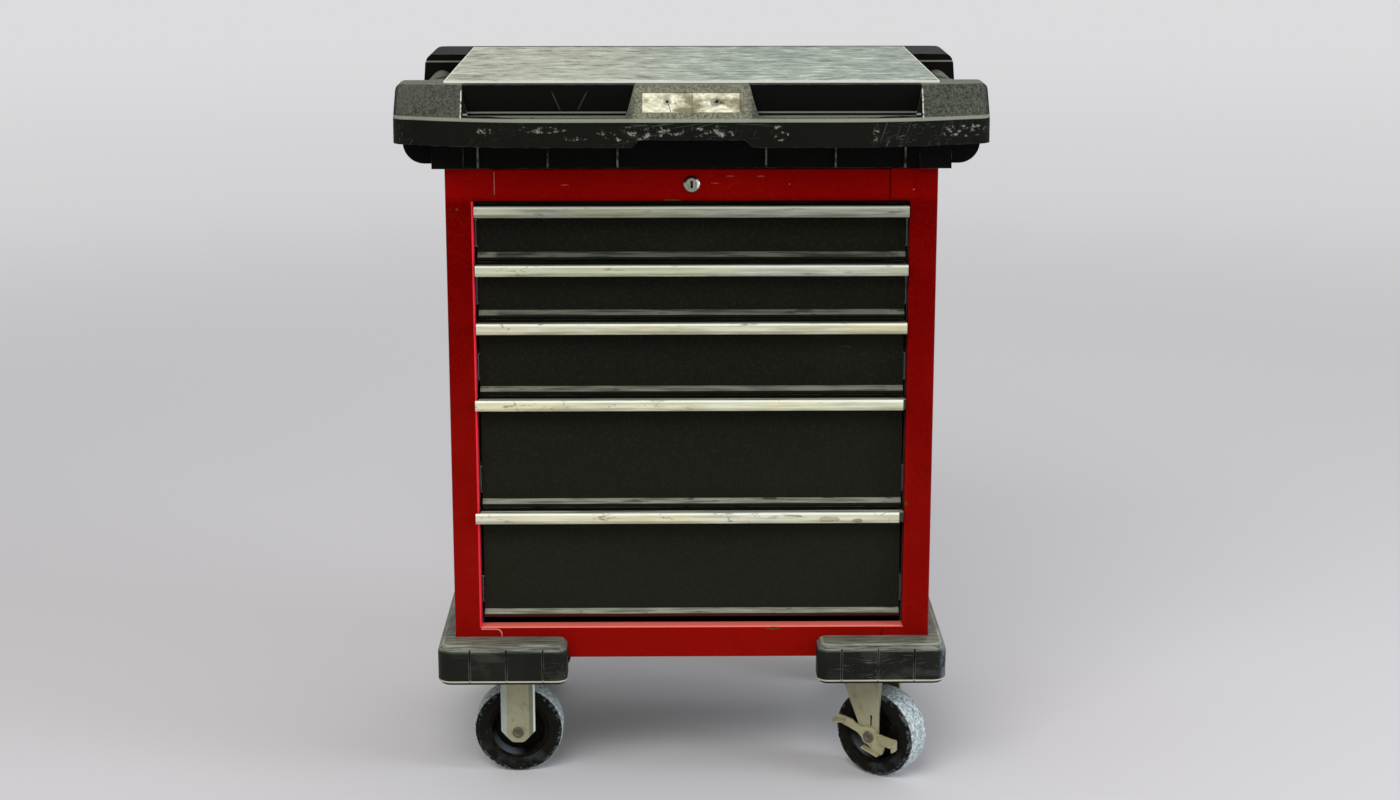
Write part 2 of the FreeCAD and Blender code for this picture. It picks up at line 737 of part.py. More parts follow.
def top_tray():
    """The black moulded top: sloped front with pockets, grip blocks at the corners, and a skirt."""
    half = TRAY_W / 2
    mid, back = -TRAY_D / 2, TRAY_D / 2
    slope = tray_block(
        (LIP_Z, half - 0.5, mid, LIP_SWEEP, back - 0.5, 26.0),
        (RIM_TOP, half - 4, RIM_FRONT, RIM_SWEEP, back - 2, 24.0),
    )
    band = tray_block(
        (BAND_BOTTOM, half, mid + 4, LIP_SWEEP, back, 24.0),
        (LIP_Z, half - 0.5, mid + 1.5, LIP_SWEEP, back - 0.5, 25.0),
    )
    edge = half - 9
    section = [(-edge, TUB_BOTTOM), (edge, TUB_BOTTOM), (edge, BAND_BOTTOM), (-edge, BAND_BOTTOM)]
    tub = rounded_prism(section, [28, 28, 0, 0], "xz", FRONT - 4, BACK + 4)
    outside = cut(fuse([slope, band, tub] + skirt()), tray_cuts())
    return fuse([cut(outside, tray_rooms())] + tray_bosses())


def rounded_edge_cutter(x, z, radius, y0, y1):
    """What to take away to round a long upper edge that runs along Y."""
    side = 1 if x > 0 else -1
    corner = box(x - side * radius, x + side * 10, y0, y1, z - radius, z + 10)
    return corner.cut(rod(radius, (x - side * radius, y0, z - radius), (x - side * radius, y1, z - radius)))


def worktop_panel():
    """Laminated worktop board that lies in the tray."""
    x = WORKTOP_W / 2
    panel = box(-x, x, *WORKTOP_Y, WORKTOP_TOP - WORKTOP_T, WORKTOP_TOP)
    edges = [e for e in panel.Edges if abs(e.CenterOfMass.z - WORKTOP_TOP) < 0.01]
    return panel.makeChamfer(0.8, edges)


def side_grip(side):
    """Grip bar with its moulded rubber sleeve, ribbed round."""
    x = side * GRIP_X
    core = rod(GRIP_CORE_R, (x, NOTCH_FRONT - 22, GRIP_Z), (x, NOTCH_BACK + 22, GRIP_Z))
    start, end = NOTCH_FRONT + 2.0, NOTCH_BACK - 2.0
    pitch = 11.0
    count = int((end - start - 12.0) / pitch)
    margin = (end - start - count * pitch) / 2
    sleeve = [rod(GRIP_R - 1.3, (x, start, GRIP_Z), (x, end, GRIP_Z))]
    for i in range(count):
        y = start + margin + i * pitch
        sleeve.append(rod(GRIP_R, (x, y + 1.6, GRIP_Z), (x, y + pitch - 1.6, GRIP_Z)))
    for y0, y1 in ((start, start + margin), (end - margin, end)):
        sleeve.append(rod(GRIP_R, (x, y0, GRIP_Z), (x, y1, GRIP_Z)))
    return fuse([core] + sleeve)


# Bumpers


def bumper():
    """Right bumper: one moulding along the side, turned round both corners, hollow behind."""
    x0, x1 = BODY_X, BUMPER_X
    y0, y1 = FRONT - BUMPER_OUT, BACK + BUMPER_OUT
    outer = [
        (BUMPER_INNER, FRONT),
        (BUMPER_INNER, y0),
        (x1, y0),
        (x1, y1),
        (BUMPER_INNER, y1),
        (BUMPER_INNER, BACK),
        (x0, BACK),
        (x0, FRONT),
    ]
    radii = [0, 15, 20, 20, 15, 0, 0, 0]
    block = rounded_prism(outer, radii, "xy", BUMPER_BOTTOM, BUMPER_TOP)
    rim = [e for e in block.Edges if abs(e.CenterOfMass.z - BUMPER_TOP) < 0.01 and off_body(e)]
    block = block.makeFillet(13.0, rim)
    foot = [e for e in block.Edges if abs(e.CenterOfMass.z - BUMPER_BOTTOM) < 0.01 and off_body(e)]
    block = block.makeChamfer(4.5, foot)
    hollows = []
    for near, far in ((y0 + 7, FRONT + 1), (y1 - 7, BACK - 1)):
        hollows.append(box(BUMPER_INNER + 7, x0 - 4, near, far, BUMPER_BOTTOM - 1, BODY_BOTTOM - 2))
        hollows.append(box(BUMPER_INNER + 7, x0 - 4, near, far, BODY_BOTTOM + 3, BUMPER_TOP - 16))
    under = box(x0 - 10, x1 - 6, FRONT + 12, BACK - 12, BUMPER_BOTTOM - 1, BODY_BOTTOM - 2)
    return cut(block, hollows + [under] + bumper_grooves())


def off_body(edge):
    """True for an edge on the bumper's outer face, not against the cabinet."""
    c = edge.CenterOfMass
    beside = c.x > BODY_X + 2
    ahead = c.y < FRONT - 2 or c.y > BACK + 2
    return beside or ahead


def bumper_grooves():
    """Upright grooves every few centimetres along the outer faces."""
    width, depth = 2.4, 1.8
    grooves = []
    y0, y1 = FRONT - BUMPER_OUT, BACK + BUMPER_OUT
    z = (BUMPER_BOTTOM - 1, BUMPER_TOP + 1)
    for i in range(3):
        x = BUMPER_INNER + 32.0 + i * GROOVE_PITCH
        for edge, inwards in ((y0, 1), (y1, -1)):
            grooves.append(box(x, x + width, edge - inwards, edge + inwards * depth, *z))
    count = int((BODY_D - 20.0) / GROOVE_PITCH) + 1
    for i in range(count):
        y = FRONT + 20.0 + i * GROOVE_PITCH
        grooves.append(box(BUMPER_X - depth, BUMPER_X + 1, y, y + width, *z))
    return grooves


# Castors


def placed(shape, x, y, turn):
    """Turns a castor piece made at the origin and moves it to its place."""
    moved = shape.copy()
    moved.rotate(Vector(0, 0, 0), Vector(0, 0, 1), turn)
    moved.translate(Vector(x, y, 0))
    return moved


def castor_plate():
    """Bolted top plate with its four holes."""
    hx, hy = PLATE_HALF
    z0 = CHANNEL_BOTTOM - PLATE_T
    plate = rounded_prism([(-hx, -hy), (hx, -hy), (hx, hy), (-hx, hy)], 9.0, "xy", z0, CHANNEL_BOTTOM)
    holes = []
    for sx in (-1, 1):
        for sy in (-1, 1):
            x, y = sx * BOLT_AT[0], sy * BOLT_AT[1]
            holes.append(rod(4.3, (x, y, z0 - 1), (x, y, CHANNEL_BOTTOM + 1)))
    return cut(plate, holes)


def swivel_plate():
    """Top plate of a swivel castor with the fixed half of its bearing and the king pin."""
    z0 = CHANNEL_BOTTOM - PLATE_T
    race = Part.makeCone(24.0, 29.0, 8.0, Vector(0, 0, z0 - 8.0))
    pin = rod(KING_R, (0, 0, z0 - 22), (0, 0, z0))
    washer = rod(9.0, (0, 0, z0 - 25), (0, 0, z0 - 21))
    return fuse([castor_plate(), race, pin, washer])


def fixed_bracket():
    """Fixed castor bracket: plate and two legs with folded edges, each pointed round the axle."""
    z0 = CHANNEL_BOTTOM - PLATE_T
    foot = WHEEL_R - 15
    reach = FORK_GAP / 2 + FORK_SHEET
    half, flat, fold = 24.0, 15.0, 2.5
    plan = [(-half, -reach + fold), (-flat, -reach), (flat, -reach), (half, -reach + fold)]
    outline = [
        (-half, z0), (-half, WHEEL_R + 1), (-8, foot), (8, foot), (half, WHEEL_R + 1), (half, z0)
    ]
    shape = rounded_prism(outline, [0, 3, 8, 8, 3, 0], "xz", -reach - 5, 0.0)
    leg = folded_sheet(plan, FORK_SHEET, 0.8, "xy", foot, z0).common(shape)
    other = leg.mirror(Vector(0, 0, 0), Vector(0, 1, 0))
    crown = polygon(plan + [(x, -y) for x, y in plan[::-1]], "xy", z0 - 4, z0)
    hole = rod(AXLE_R + RUNNING, (0, -60, WHEEL_R), (0, 60, WHEEL_R))
    return cut(fuse([castor_plate(), crown, leg, other]), [hole])


def swivel_fork():
    """Turning fork: bearing cup, crown and two raked legs that trail the axle behind the king pin."""
    cup_top = CHANNEL_BOTTOM - PLATE_T - 8.6
    crown_z = cup_top - 8.0
    reach = FORK_GAP / 2 + FORK_SHEET
    edge = TRAIL + 14.0
    cup = rod(30.0, (0, 0, crown_z), (0, 0, cup_top))
    crown_plan = [(-30.0, -reach), (edge, -reach), (edge, reach), (-30.0, reach)]
    crown = rounded_prism(crown_plan, [10, 0, 0, 10], "xy", crown_z - 4, crown_z)
    leg = [
        (TRAIL - 48.0, crown_z),
        (TRAIL - 46.0, crown_z - 8.0),
        (TRAIL - 19.0, WHEEL_R + 16.0),
        (TRAIL - 12.0, WHEEL_R - 11.0),
        (TRAIL + 4.0, WHEEL_R - 17.0),
        (edge, WHEEL_R - 6.0),
        (edge, crown_z),
    ]
    fold = [
        (-reach, crown_z),
        (-reach + 9.0, crown_z),
        (-reach + FORK_SHEET, WHEEL_R + 36.0),
        (-reach, WHEEL_R + 30.0),
    ]
    pieces = [cup, crown]
    for side in (-1, 1):
        y = side * FORK_GAP / 2
        radii = [0, 5, 8, 9, 10, 8, 0]
        pieces.append(rounded_prism(leg, radii, "xz", y, y + side * FORK_SHEET))
        pieces.append(polygon([(-side * a, z) for a, z in fold], "yz", edge - 2.5, edge))
    outer = (-reach - 1.0, -FORK_GAP / 2 + 1.0)
    slot_x, slot_top = TRAIL + 1.6, WHEEL_R + 29.0
    cuts = [
        rod(AXLE_R + RUNNING, (TRAIL, -60, WHEEL_R), (TRAIL, 60, WHEEL_R)),
        rod(KING_R + RUNNING, (0, 0, crown_z - 10), (0, 0, cup_top + 5)),
        rod(10.0, (0, 0, crown_z - 10), (0, 0, cup_top - 4.0)),
        rod(2.2, (slot_x, outer[0], slot_top), (slot_x, outer[1], slot_top)),
        box(slot_x - 1.4, slot_x + 1.4, *outer, WHEEL_R + 15.0, slot_top),
    ]
    return cut(fuse(pieces), cuts)


def axle(head_out):
    """Axle at the origin along Y, with a flat riveted head at the outer end and a nut at the inner end."""
    leg = FORK_GAP / 2 + FORK_SHEET
    face = -leg - head_out - 1.8
    shaft = rod(AXLE_R, (0, -leg - head_out - 0.5, WHEEL_R), (0, leg + 10, WHEEL_R))
    head = rod(8.0, (0, face, WHEEL_R), (0, -leg - head_out, WHEEL_R))
    rim = [e for e in head.Edges if abs(e.CenterOfMass.y - face) < 0.01]
    head = head.makeChamfer(0.7, rim)
    dimple = Part.makeCone(4.6, 3.6, 1.0, Vector(0, face, WHEEL_R), Vector(0, 1, 0))
    return cut(fuse([shaft, head, hexagon(9.5, leg + 0.3, leg + 8)]), [dimple])


def hexagon(across, y0, y1):
    """A hexagon nut along Y at axle height."""
    corners = []
    for i in range(6):
        a = math.radians(60 * i)
        corners.append((across * math.cos(a), WHEEL_R + across * math.sin(a)))
    return polygon(corners, "xz", y0, y1)


def tyre():
    """Solid rubber tyre with rounded shoulders, centred on the origin with its axle along Y."""
    w, r = TYRE_W / 2, WHEEL_R
    outline = [
        (RIM_R, -w + 2.0),
        (RIM_R + 3.0, -w),
        (r - 6.0, -w),
        (r - 2.4, -w + 2.0),
        (r, -w + 6.5),
        (r, w - 6.5),
        (r - 2.4, w - 2.0),
        (r - 6.0, w),
        (RIM_R + 3.0, w),
        (RIM_R, w - 2.0),
    ]
    return revolved(outline, Vector(0, 0, WHEEL_R), 0.0)


def hub():
    """Wheel centre: bearing barrel, dished web and the rim under the tyre."""
    w, barrel = TYRE_W / 2 - 2.0, HUB_W / 2
    bore = AXLE_R + RUNNING
    outline = [
        (bore, -barrel),
        (14.0, -barrel),
        (16.0, -7.0),
        (34.0, -5.0),
        (37.5, -w),
        (RIM_R, -w),
        (RIM_R, w),
        (37.5, w),
        (34.0, 5.0),
        (16.0, 7.0),
        (14.0, barrel),
        (bore, barrel),
    ]
    return revolved(outline, Vector(0, 0, WHEEL_R), 0.0)


def brake_lever():
    """Pressed brake lever on the outer leg: a slim arm with a pointed tip, a pedal and a lower tab."""
    y1 = -FORK_GAP / 2 - FORK_SHEET - 0.5
    y0 = y1 - 3.0
    arm = [(-56, 14), (-50, 23), (-28, 20), (-23, 16), (-11, 12), (-5, 14.5), (6, 14.5), (14, 7)]
    arm += [(28, 5), (45, 3), (45, -11), (40, -12), (27, -8), (22, -23), (12, -23), (3, -15)]
    arm += [(-9, -6), (-17, 2), (-32, 7), (-44, 10)]
    radii = [3, 3, 3, 3, 5, 5, 5, 4, 4, 2, 2, 2, 3, 4, 3, 3, 5, 6, 5, 3]
    plate = rounded_prism([(x, WHEEL_R + z) for x, z in arm], radii, "xz", y0, y1)
    pedal_section = [(y0 + 1, 5.0), (y0 - 14, -1.0), (y0 - 14, -3.6), (y0 + 1, 2.4)]
    tip_section = [(y0 + 1, 18.5), (y0 - 9, 14.0), (y0 - 9, 11.8), (y0 + 1, 16.3)]
    pieces = [
        plate,
        lever_shelf(pedal_section, [(13, y0 + 1), (21, y0 - 9), (41, y0 - 14), (45, y0 - 9), (45, y0 + 1)]),
        lever_shelf(tip_section, [(-55, y0 + 1), (-57, y0 - 6), (-51, y0 - 9), (-39, y0 - 4), (-38, y0 + 1)]),
        box(42.5, 45, y0 - 10, y0 + 1, WHEEL_R - 11, WHEEL_R + 1),
        polygon(
            [(-8, WHEEL_R - 14), (19, WHEEL_R - 22), (18, WHEEL_R - 24.4), (-9, WHEEL_R - 16.4)],
            "xz",
            y0 - 7,
            y0 + 2,
        ),
    ]
    hole = rod(AXLE_R + RUNNING, (0, y0 - 20, WHEEL_R), (0, y1 + 5, WHEEL_R))
    lever = cut(fuse(pieces), [hole])
    lever.translate(Vector(TRAIL, 0, 0))
    return lever


def lever_shelf(section, plan):
    """A sloping shelf bent out of the lever, given by its section and its plan, with eased corners."""
    raised = [(y, WHEEL_R + z) for y, z in section]
    left, right = min(x for x, _ in plan), max(x for x, _ in plan)
    slab = polygon(raised, "yz", left, right)
    return slab.common(rounded_prism(plan, [0, 2, 2, 2, 0], "xy", WHEEL_R - 20, WHEEL_R + 40))


def castor_bolts():
    """Bolts and nuts that hold the four castors, and the axle bolts of the two fixed ones."""
    solids = []
    plate_z = CHANNEL_BOTTOM - PLATE_T
    web = CHANNEL_BOTTOM + HEAVY
    for x in (FIXED_X, SWIVEL_X):
        for bx, by in bolt_places(x):
            head = rod(7.0, (bx, by, plate_z - 5), (bx, by, plate_z))
            shank = rod(4.0, (bx, by, plate_z - 1), (bx, by, web + 8))
            nut = rod(7.0, (bx, by, web), (bx, by, web + 6))
            solids.append(fuse([head, shank, nut]))
    for y in CASTOR_Y:
        solids.append(placed(axle(0.3), FIXED_X, y, 0.0))
    return Part.makeCompound(solids)


def all_parts():
    """Every sub-part under its own name."""
    right_side = side_panel()
    right_bumper = bumper()
    grips = [side_grip(-1), side_grip(1)]
    parts = {
        "side_panel_left": mirror_x(right_side),
        "side_panel_right": right_side,
        "back_panel": back_panel(),
        "top_rail": top_rail(),
        "bottom_rail": bottom_rail(),
        "bottom_pan": bottom_pan(),
        "castor_channels": Part.makeCompound([castor_channel(-1), castor_channel(1)]),
        "top_deck": top_deck(),
        "slide_uprights": slide_uprights(),
        "top_tray": top_tray(),
        "worktop_panel": worktop_panel(),
        "side_grips": Part.makeCompound(grips),
        "bumper_left": mirror_x(right_bumper),
        "bumper_right": right_bumper,
        "lock_housing": lock_housing(),
        "lock_plug": lock_plug(),
        "lock_rod": lock_rod(),
        "lock_bar": lock_bar(),
    }
    fixed_members = []
    for i, (top, bottom) in enumerate(FRONTS):
        number = i + 1
        z = slide_height(i)
        fixed_members += slide_pair(CABINET_MEMBER, z, True)
        middle = slide_pair(MIDDLE_MEMBER, z, True)
        moving = slide_pair(DRAWER_MEMBER, z, False)
        parts[f"drawer_{number}"] = drawer(top, bottom)
        parts[f"handle_base_{number}"] = handle_base(top)
        parts[f"handle_cover_{number}"] = handle_cover(top, COVER_SHIFT[i])
        parts[f"middle_slides_{number}"] = Part.makeCompound(middle)
        parts[f"drawer_slides_{number}"] = Part.makeCompound(moving)
    parts["cabinet_slides"] = Part.makeCompound(fixed_members)

    brackets = [placed(fixed_bracket(), FIXED_X, y, 0.0) for y in CASTOR_Y]
    plates = [placed(swivel_plate(), SWIVEL_X, y, 0.0) for y in CASTOR_Y]
    parts["fixed_brackets"] = Part.makeCompound(brackets)
    parts["swivel_plates"] = Part.makeCompound(plates)
    parts["castor_bolts"] = castor_bolts()
    wheel_pieces = {"tyre": tyre(), "hub": hub()}
    for place, y in zip(("front", "rear"), CASTOR_Y):
        for name, piece in wheel_pieces.items():
            parts[f"{name}_{place}_left"] = placed(piece, FIXED_X, y, 0.0)
    turns = {"front": FRONT_TURN, "rear": REAR_TURN}
    for place, y in zip(("front", "rear"), CASTOR_Y):
        turn = turns[place]
        for name, piece in wheel_pieces.items():
            offset = piece.copy()
            offset.translate(Vector(TRAIL, 0, 0))
            parts[f"{name}_{place}_right"] = placed(offset, SWIVEL_X, y, turn)
        pin = axle(4.2 if place == "front" else 0.3)
        pin.translate(Vector(TRAIL, 0, 0))
        parts[f"swivel_axle_{place}"] = placed(pin, SWIVEL_X, y, turn)
        parts[f"swivel_fork_{place}"] = placed(swivel_fork(), SWIVEL_X, y, turn)
    parts["brake_lever"] = placed(brake_lever(), SWIVEL_X, CASTOR_Y[0], FRONT_TURN)
    return parts


def main():
    os.makedirs("parts", exist_ok=True)
    for name, shape in all_parts().items():
        if not shape.isValid():
            print("not valid:", name)
        shape.exportStep(f"parts/{name}.step")


main()
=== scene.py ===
# %% [markdown]
# # A worn rolling tool cabinet
# The real object is a red sheet steel cabinet with black drawers, a moulded black tray with a grey
# worktop, corner bumpers and four castors. Its shapes come from CAD and arrive here as a fixed
# frame: every sub-part is one mesh in metres, with the floor at Z = 0 and the drawers facing -Y.
# This lesson dresses that frame. It adds the finishes, tyres with chipped shoulders, and a soft studio.

# %% Load the frame
import json
import math

import bmesh
import bpy
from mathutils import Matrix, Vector, noise


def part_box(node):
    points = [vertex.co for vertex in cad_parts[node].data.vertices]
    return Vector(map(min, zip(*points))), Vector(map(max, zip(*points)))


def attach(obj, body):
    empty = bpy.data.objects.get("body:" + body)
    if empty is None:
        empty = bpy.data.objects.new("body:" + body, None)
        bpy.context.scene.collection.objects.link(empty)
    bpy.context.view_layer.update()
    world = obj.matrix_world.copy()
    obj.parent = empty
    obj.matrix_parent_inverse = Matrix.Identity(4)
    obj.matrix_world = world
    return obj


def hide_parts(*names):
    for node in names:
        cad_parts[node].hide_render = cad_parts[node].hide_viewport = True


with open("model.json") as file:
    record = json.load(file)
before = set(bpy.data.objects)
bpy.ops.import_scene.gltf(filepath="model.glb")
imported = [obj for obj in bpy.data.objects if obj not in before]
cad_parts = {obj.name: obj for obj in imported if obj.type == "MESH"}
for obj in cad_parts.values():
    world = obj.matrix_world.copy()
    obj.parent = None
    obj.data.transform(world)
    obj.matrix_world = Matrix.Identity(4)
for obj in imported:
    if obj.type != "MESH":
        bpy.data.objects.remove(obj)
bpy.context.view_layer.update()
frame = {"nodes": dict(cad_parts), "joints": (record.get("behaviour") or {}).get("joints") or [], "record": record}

nodes = frame["nodes"]

# %% [markdown]
# ## Camera
# The photograph was taken from a little above the worktop, about three metres in front of the
# drawers, with a lens of about 60 mm. The place and tilt were worked out from the corners of the
# cabinet, whose real sizes are known from the CAD. A small downward shift does what the crop of
# the photograph did.

# %% Camera at the photograph's angle
CAMERA_PLACE = Vector((-0.0258, -3.302, 1.311))
CAMERA_PITCH = math.radians(12.76)
CAMERA_YAW = math.radians(-0.68)

lens = bpy.data.cameras.new("photo_camera")
lens.lens = 60.59
lens.sensor_width = 36.0
lens.shift_y = -0.03
camera = bpy.data.objects.new("photo_camera", lens)
camera.location = CAMERA_PLACE
camera.rotation_euler = (math.pi / 2 - CAMERA_PITCH, 0.0, CAMERA_YAW)
bpy.context.scene.collection.objects.link(camera)
bpy.context.scene.camera = camera
bpy.context.scene.view_settings.view_transform = "Standard"
print("camera", round(CAMERA_PLACE.length, 2), "m from the floor's middle")

# %% [markdown]
# ## Writing a finish as arithmetic
# A finish is a tree of nodes. Drawn by hand it soon becomes a web, so here a socket is wrapped in a
# small class: adding or multiplying two wrapped sockets adds the Math node for it, and a mask can
# be turned round by writing 1 - mask. One method makes every other kind of node. Each finish
# starts with the surface's own place on the cabinet in metres, so stains stay on a drawer when it
# opens.

# %% The socket wrapper
class Wire:
    """A node's output, on which sums and products can be written."""

    def __init__(self, finish, socket):
        self.finish = finish
        self.socket = socket

    def math(self, operation, *values):
        inputs = dict(enumerate(values))
        return self.finish.node("ShaderNodeMath", {"operation": operation}, inputs)

    def out(self, name):
        return Wire(self.finish, self.socket.node.outputs[name])

    def __add__(self, other):
        return self.math("ADD", self, other)

    def __radd__(self, other):
        return self.math("ADD", other, self)

    def __sub__(self, other):
        return self.math("SUBTRACT", self, other)

    def __rsub__(self, other):
        return self.math("SUBTRACT", other, self)

    def __mul__(self, other):
        return self.math("MULTIPLY", self, other)

    def __rmul__(self, other):
        return self.math("MULTIPLY", other, self)

    def __abs__(self):
        return self.math("ABSOLUTE", self)

    def root(self):
        return self.math("SQRT", self)

    def sine(self):
        return self.math("SINE", self)

    def __or__(self, other):
        return self.math("MAXIMUM", self, other)


# %% The finish
class Finish:
    """One material: its nodes, and the place of a surface point as x, y and z."""

    def __init__(self, name, **constants):
        self.material = bpy.data.materials.new(name)
        self.material.use_nodes = True
        self.tree = self.material.node_tree
        self.shader = self.tree.nodes["Principled BSDF"]
        for socket, value in constants.items():
            self.shader.inputs[socket.replace("_", " ")].default_value = value
        self.where = self.node("ShaderNodeTexCoord", output="Object")
        self.x = self.node("ShaderNodeSeparateXYZ", values={0: self.where})
        self.y, self.z = self.x.out("Y"), self.x.out("Z")

    def node(self, kind, settings=None, values=None, output=0):
        made = self.tree.nodes.new(kind)
        for key, value in (settings or {}).items():
            setattr(made, key, value)
        for key, value in (values or {}).items():
            if isinstance(value, Wire):
                self.tree.links.new(value.socket, made.inputs[key])
            else:
                made.inputs[key].default_value = value
        return Wire(self, made.outputs[output])

    def vector(self, operation, *values, output=0):
        """A sum on vectors. Its output 1 is a plain number, such as a length."""
        settings, inputs = {"operation": operation}, dict(enumerate(values))
        return self.node("ShaderNodeVectorMath", settings, inputs, output)

    def feed(self, **wires):
        """Joins wires to the shader's own sockets, such as Base_Color=colour."""
        for socket, wire in wires.items():
            self.tree.links.new(wire.socket, self.shader.inputs[socket.replace("_", " ")])


# %% [markdown]
# ## Colours and simple masks
# A mask is a number from 0 to 1 that says how much of a mark is on a place. Most masks start as a
# distance or a noise value and are turned into 0 and 1 by a smooth step. Places are given in metres
# on the cabinet, so a mark can be put where the real one has it: near a height, within an oval on
# the front, or only on faces that look a certain way.

# %% Colour, step, stripe, oval and direction
def paint(red, green, blue):
    """A colour from 0-255 screen values, made linear for the shader."""
    linear = []
    for value in (red, green, blue):
        part = value / 255.0
        linear.append(part / 12.92 if part <= 0.04045 else ((part + 0.055) / 1.055) ** 2.4)
    return (*linear, 1.0)


def tint(share, first, second):
    """Mixes two colours by a mask."""
    finish = share.finish
    return finish.node("ShaderNodeMix", {"data_type": "RGBA"}, {0: share, 6: first, 7: second}, 2)


def lay(colour, mask, red, green, blue):
    """Lays one more colour over a finish, as much as the mask says."""
    return tint(mask, colour, paint(red, green, blue))


def rise(value, low, high):
    """0 below low and 1 above high, or the other way round when low is the larger."""
    edges = {"Value": value, "From Min": low, "From Max": high}
    return value.finish.node("ShaderNodeMapRange", {"interpolation_type": "SMOOTHSTEP"}, edges)


def near(value, centre, half, soft):
    """1 within half of a centre, fading out over soft."""
    return rise(abs(value - centre), half + soft, half)


def oval(finish, x, z, wide, high, ragged=0.0):
    """1 inside an oval on the front, with an edge made ragged by noise if wanted."""
    across, up = (finish.x - x) * (1.0 / wide), (finish.z - z) * (1.0 / high)
    return rise(across * across + up * up + ragged, 1.25, 0.75)


def ovals(finish, places, ragged=0.0):
    """1 inside any of several ovals, each given as x, z, width and height."""
    mask = oval(finish, *places[0], ragged)
    for place in places[1:]:
        mask = mask | oval(finish, *place, ragged)
    return mask


def facing(finish, axis, low, high):
    """1 where the surface looks along an axis by more than high."""
    normal = finish.node("ShaderNodeNewGeometry", output="Normal")
    return rise(finish.node("ShaderNodeSeparateXYZ", values={0: normal}, output=axis), low, high)


print("screen grey 128 is", round(paint(128, 128, 128)[0], 3), "in linear light")


# %% [markdown]
# ## Marks that years of use leave
# Wear is much the same on every finish: cloudy patches, hairline scratches, squiggles where
# something was dragged about, and rubbed edges. Patches are noise. A scratch is the same noise
# stretched forty times along one direction and cut off high, so only thin streaks are left. A
# squiggle is a contour line of noise, like a height line on a map. A rubbed edge is found by
# comparing the surface's direction with the direction it would have if its corners were rounded.

# %% Patches, scratches, squiggles, edges and relief
def patches(finish, scale, seed=0.0, stretch=(1, 1, 1), turn=(0, 0, 0), detail=4.0, rough=0.55):
    """Cloudy noise from 0 to 1, about 0.5 on average."""
    moved = {
        "Vector": finish.where,
        "Location": (seed * 1.71, seed * 0.93, seed * 2.37),
        "Rotation": turn,
        "Scale": stretch,
    }
    vector = finish.node("ShaderNodeMapping", {"vector_type": "TEXTURE"}, moved)
    look = {"Vector": vector, "Scale": scale, "Detail": detail, "Roughness": rough}
    return finish.node("ShaderNodeTexNoise", values=look)


def scratches(finish, turn, seed, scale=900.0, length=40.0, cut=0.70):
    """Thin straight streaks along the turned Z direction."""
    streak = patches(finish, scale, seed, (1, 1, length), turn, detail=1.0, rough=0.5)
    return rise(streak, cut, cut + 0.05)


def scuffs(finish, turns, seed, scale=900.0, length=40.0, cut=0.70, where=(0.50, 0.66)):
    """Streaks in several directions, kept to some patches of the surface."""
    marks = scratches(finish, turns[0], seed, scale, length, cut)
    for i, turn in enumerate(turns[1:]):
        marks = marks | scratches(finish, turn, seed + 3.1 + i, scale, length, cut)
    return marks * rise(patches(finish, 7.0, seed + 7.7), *where)


def squiggles(finish, scale, seed, width=0.010, stretch=(1, 1, 1), turn=(0, 0, 0)):
    """Thin wandering lines."""
    return near(patches(finish, scale, seed, stretch, turn, detail=3.0), 0.5, width * 0.4, width)


# The edge mask places rubbed edges, and on plated steel also painted highlights.
def edge_mask(finish, radius, low=0.985, high=0.86):
    """1 along the corners of the shape."""
    rounded = finish.node("ShaderNodeBevel", {"samples": 4}, {"Radius": radius})
    flat = finish.node("ShaderNodeNewGeometry", output="Normal")
    match = finish.vector("DOT_PRODUCT", rounded, flat, output=1)
    return rise(match, low, high)


def relief(finish, height, depth, strength=1.0, radius=0.0):
    """Joins a height in metres-to-be to the shader's normal, over corners rounded by radius."""
    values = {"Height": height, "Distance": depth, "Strength": strength}
    if radius:
        values["Normal"] = finish.node("ShaderNodeBevel", {"samples": 4}, {"Radius": radius})
    finish.feed(Normal=finish.node("ShaderNodeBump", values=values))


# The ways a scratch can run: turns of the upright direction about X, Y and Z.
LEVEL, STEEP = (0, math.pi / 2, 0), (0, 0.35, 0)
SLANT, COUNTER_SLANT = (0, 1.05, 0), (0, -0.8, 0)
print("a level scratch is turned by", LEVEL)

# %% [markdown]
# ## Red enamel
# The shell is folded steel in a deep red, with painted shade that keeps it darker under the tray and brighter near
# the floor, and a painted lift of light on the top rail. Enamel could be given a clear coat, but a coat mirrors
# the pale room in grey, and this paint has dulled: its shine is tinted red instead. A pink painted highlight runs
# where the left stile folds back towards the drawers, and the bottom rail's lip and bend are painted pale pink as
# light. The tabs at the four corners of the frame show their seams, dark on the right and with a painted pale
# highlight on the left, and there are a few chips and hairlines.

# %% Red enamel for the shell
OPENING_X, OPENING_Z = 0.291, (0.228, 0.822)
TAB_X, TAB_LOW_Z, TAB_ROUND = 0.263, 0.2249, 0.008
SHELL_FRONT = (-0.178, -0.184)
SHADED_TO_LIT_Z, RAIL_LIT_Z, RIGHT_STILE_X = (0.84, 0.19), (0.818, 0.832), (0.285, 0.300)
# The rail's two seams: x, middle height and half height.
RIGHT_SEAM, LEFT_SEAM = (0.2640, 0.845, 0.018), (-0.262, 0.847, 0.014)
BARE_CHIPS = [
    (0.112, 0.2245, 0.010, 0.0022), (0.293, 0.404, 0.0025, 0.0025), (-0.026, 0.8235, 0.012, 0.0016),
    (-0.312, 0.812, 0.0022, 0.0014),
]
PALE_NICKS = [
    (-0.168, 0.8443, 0.006, 0.0008), (0.052, 0.856, 0.006, 0.0008), (0.092, 0.8558, 0.005, 0.0008),
    (0.031, 0.8465, 0.005, 0.0008), (0.130, 0.845, 0.0012, 0.0012), (0.295, 0.838, 0.0014, 0.0014),
    (0.232, 0.207, 0.008, 0.0012),
]


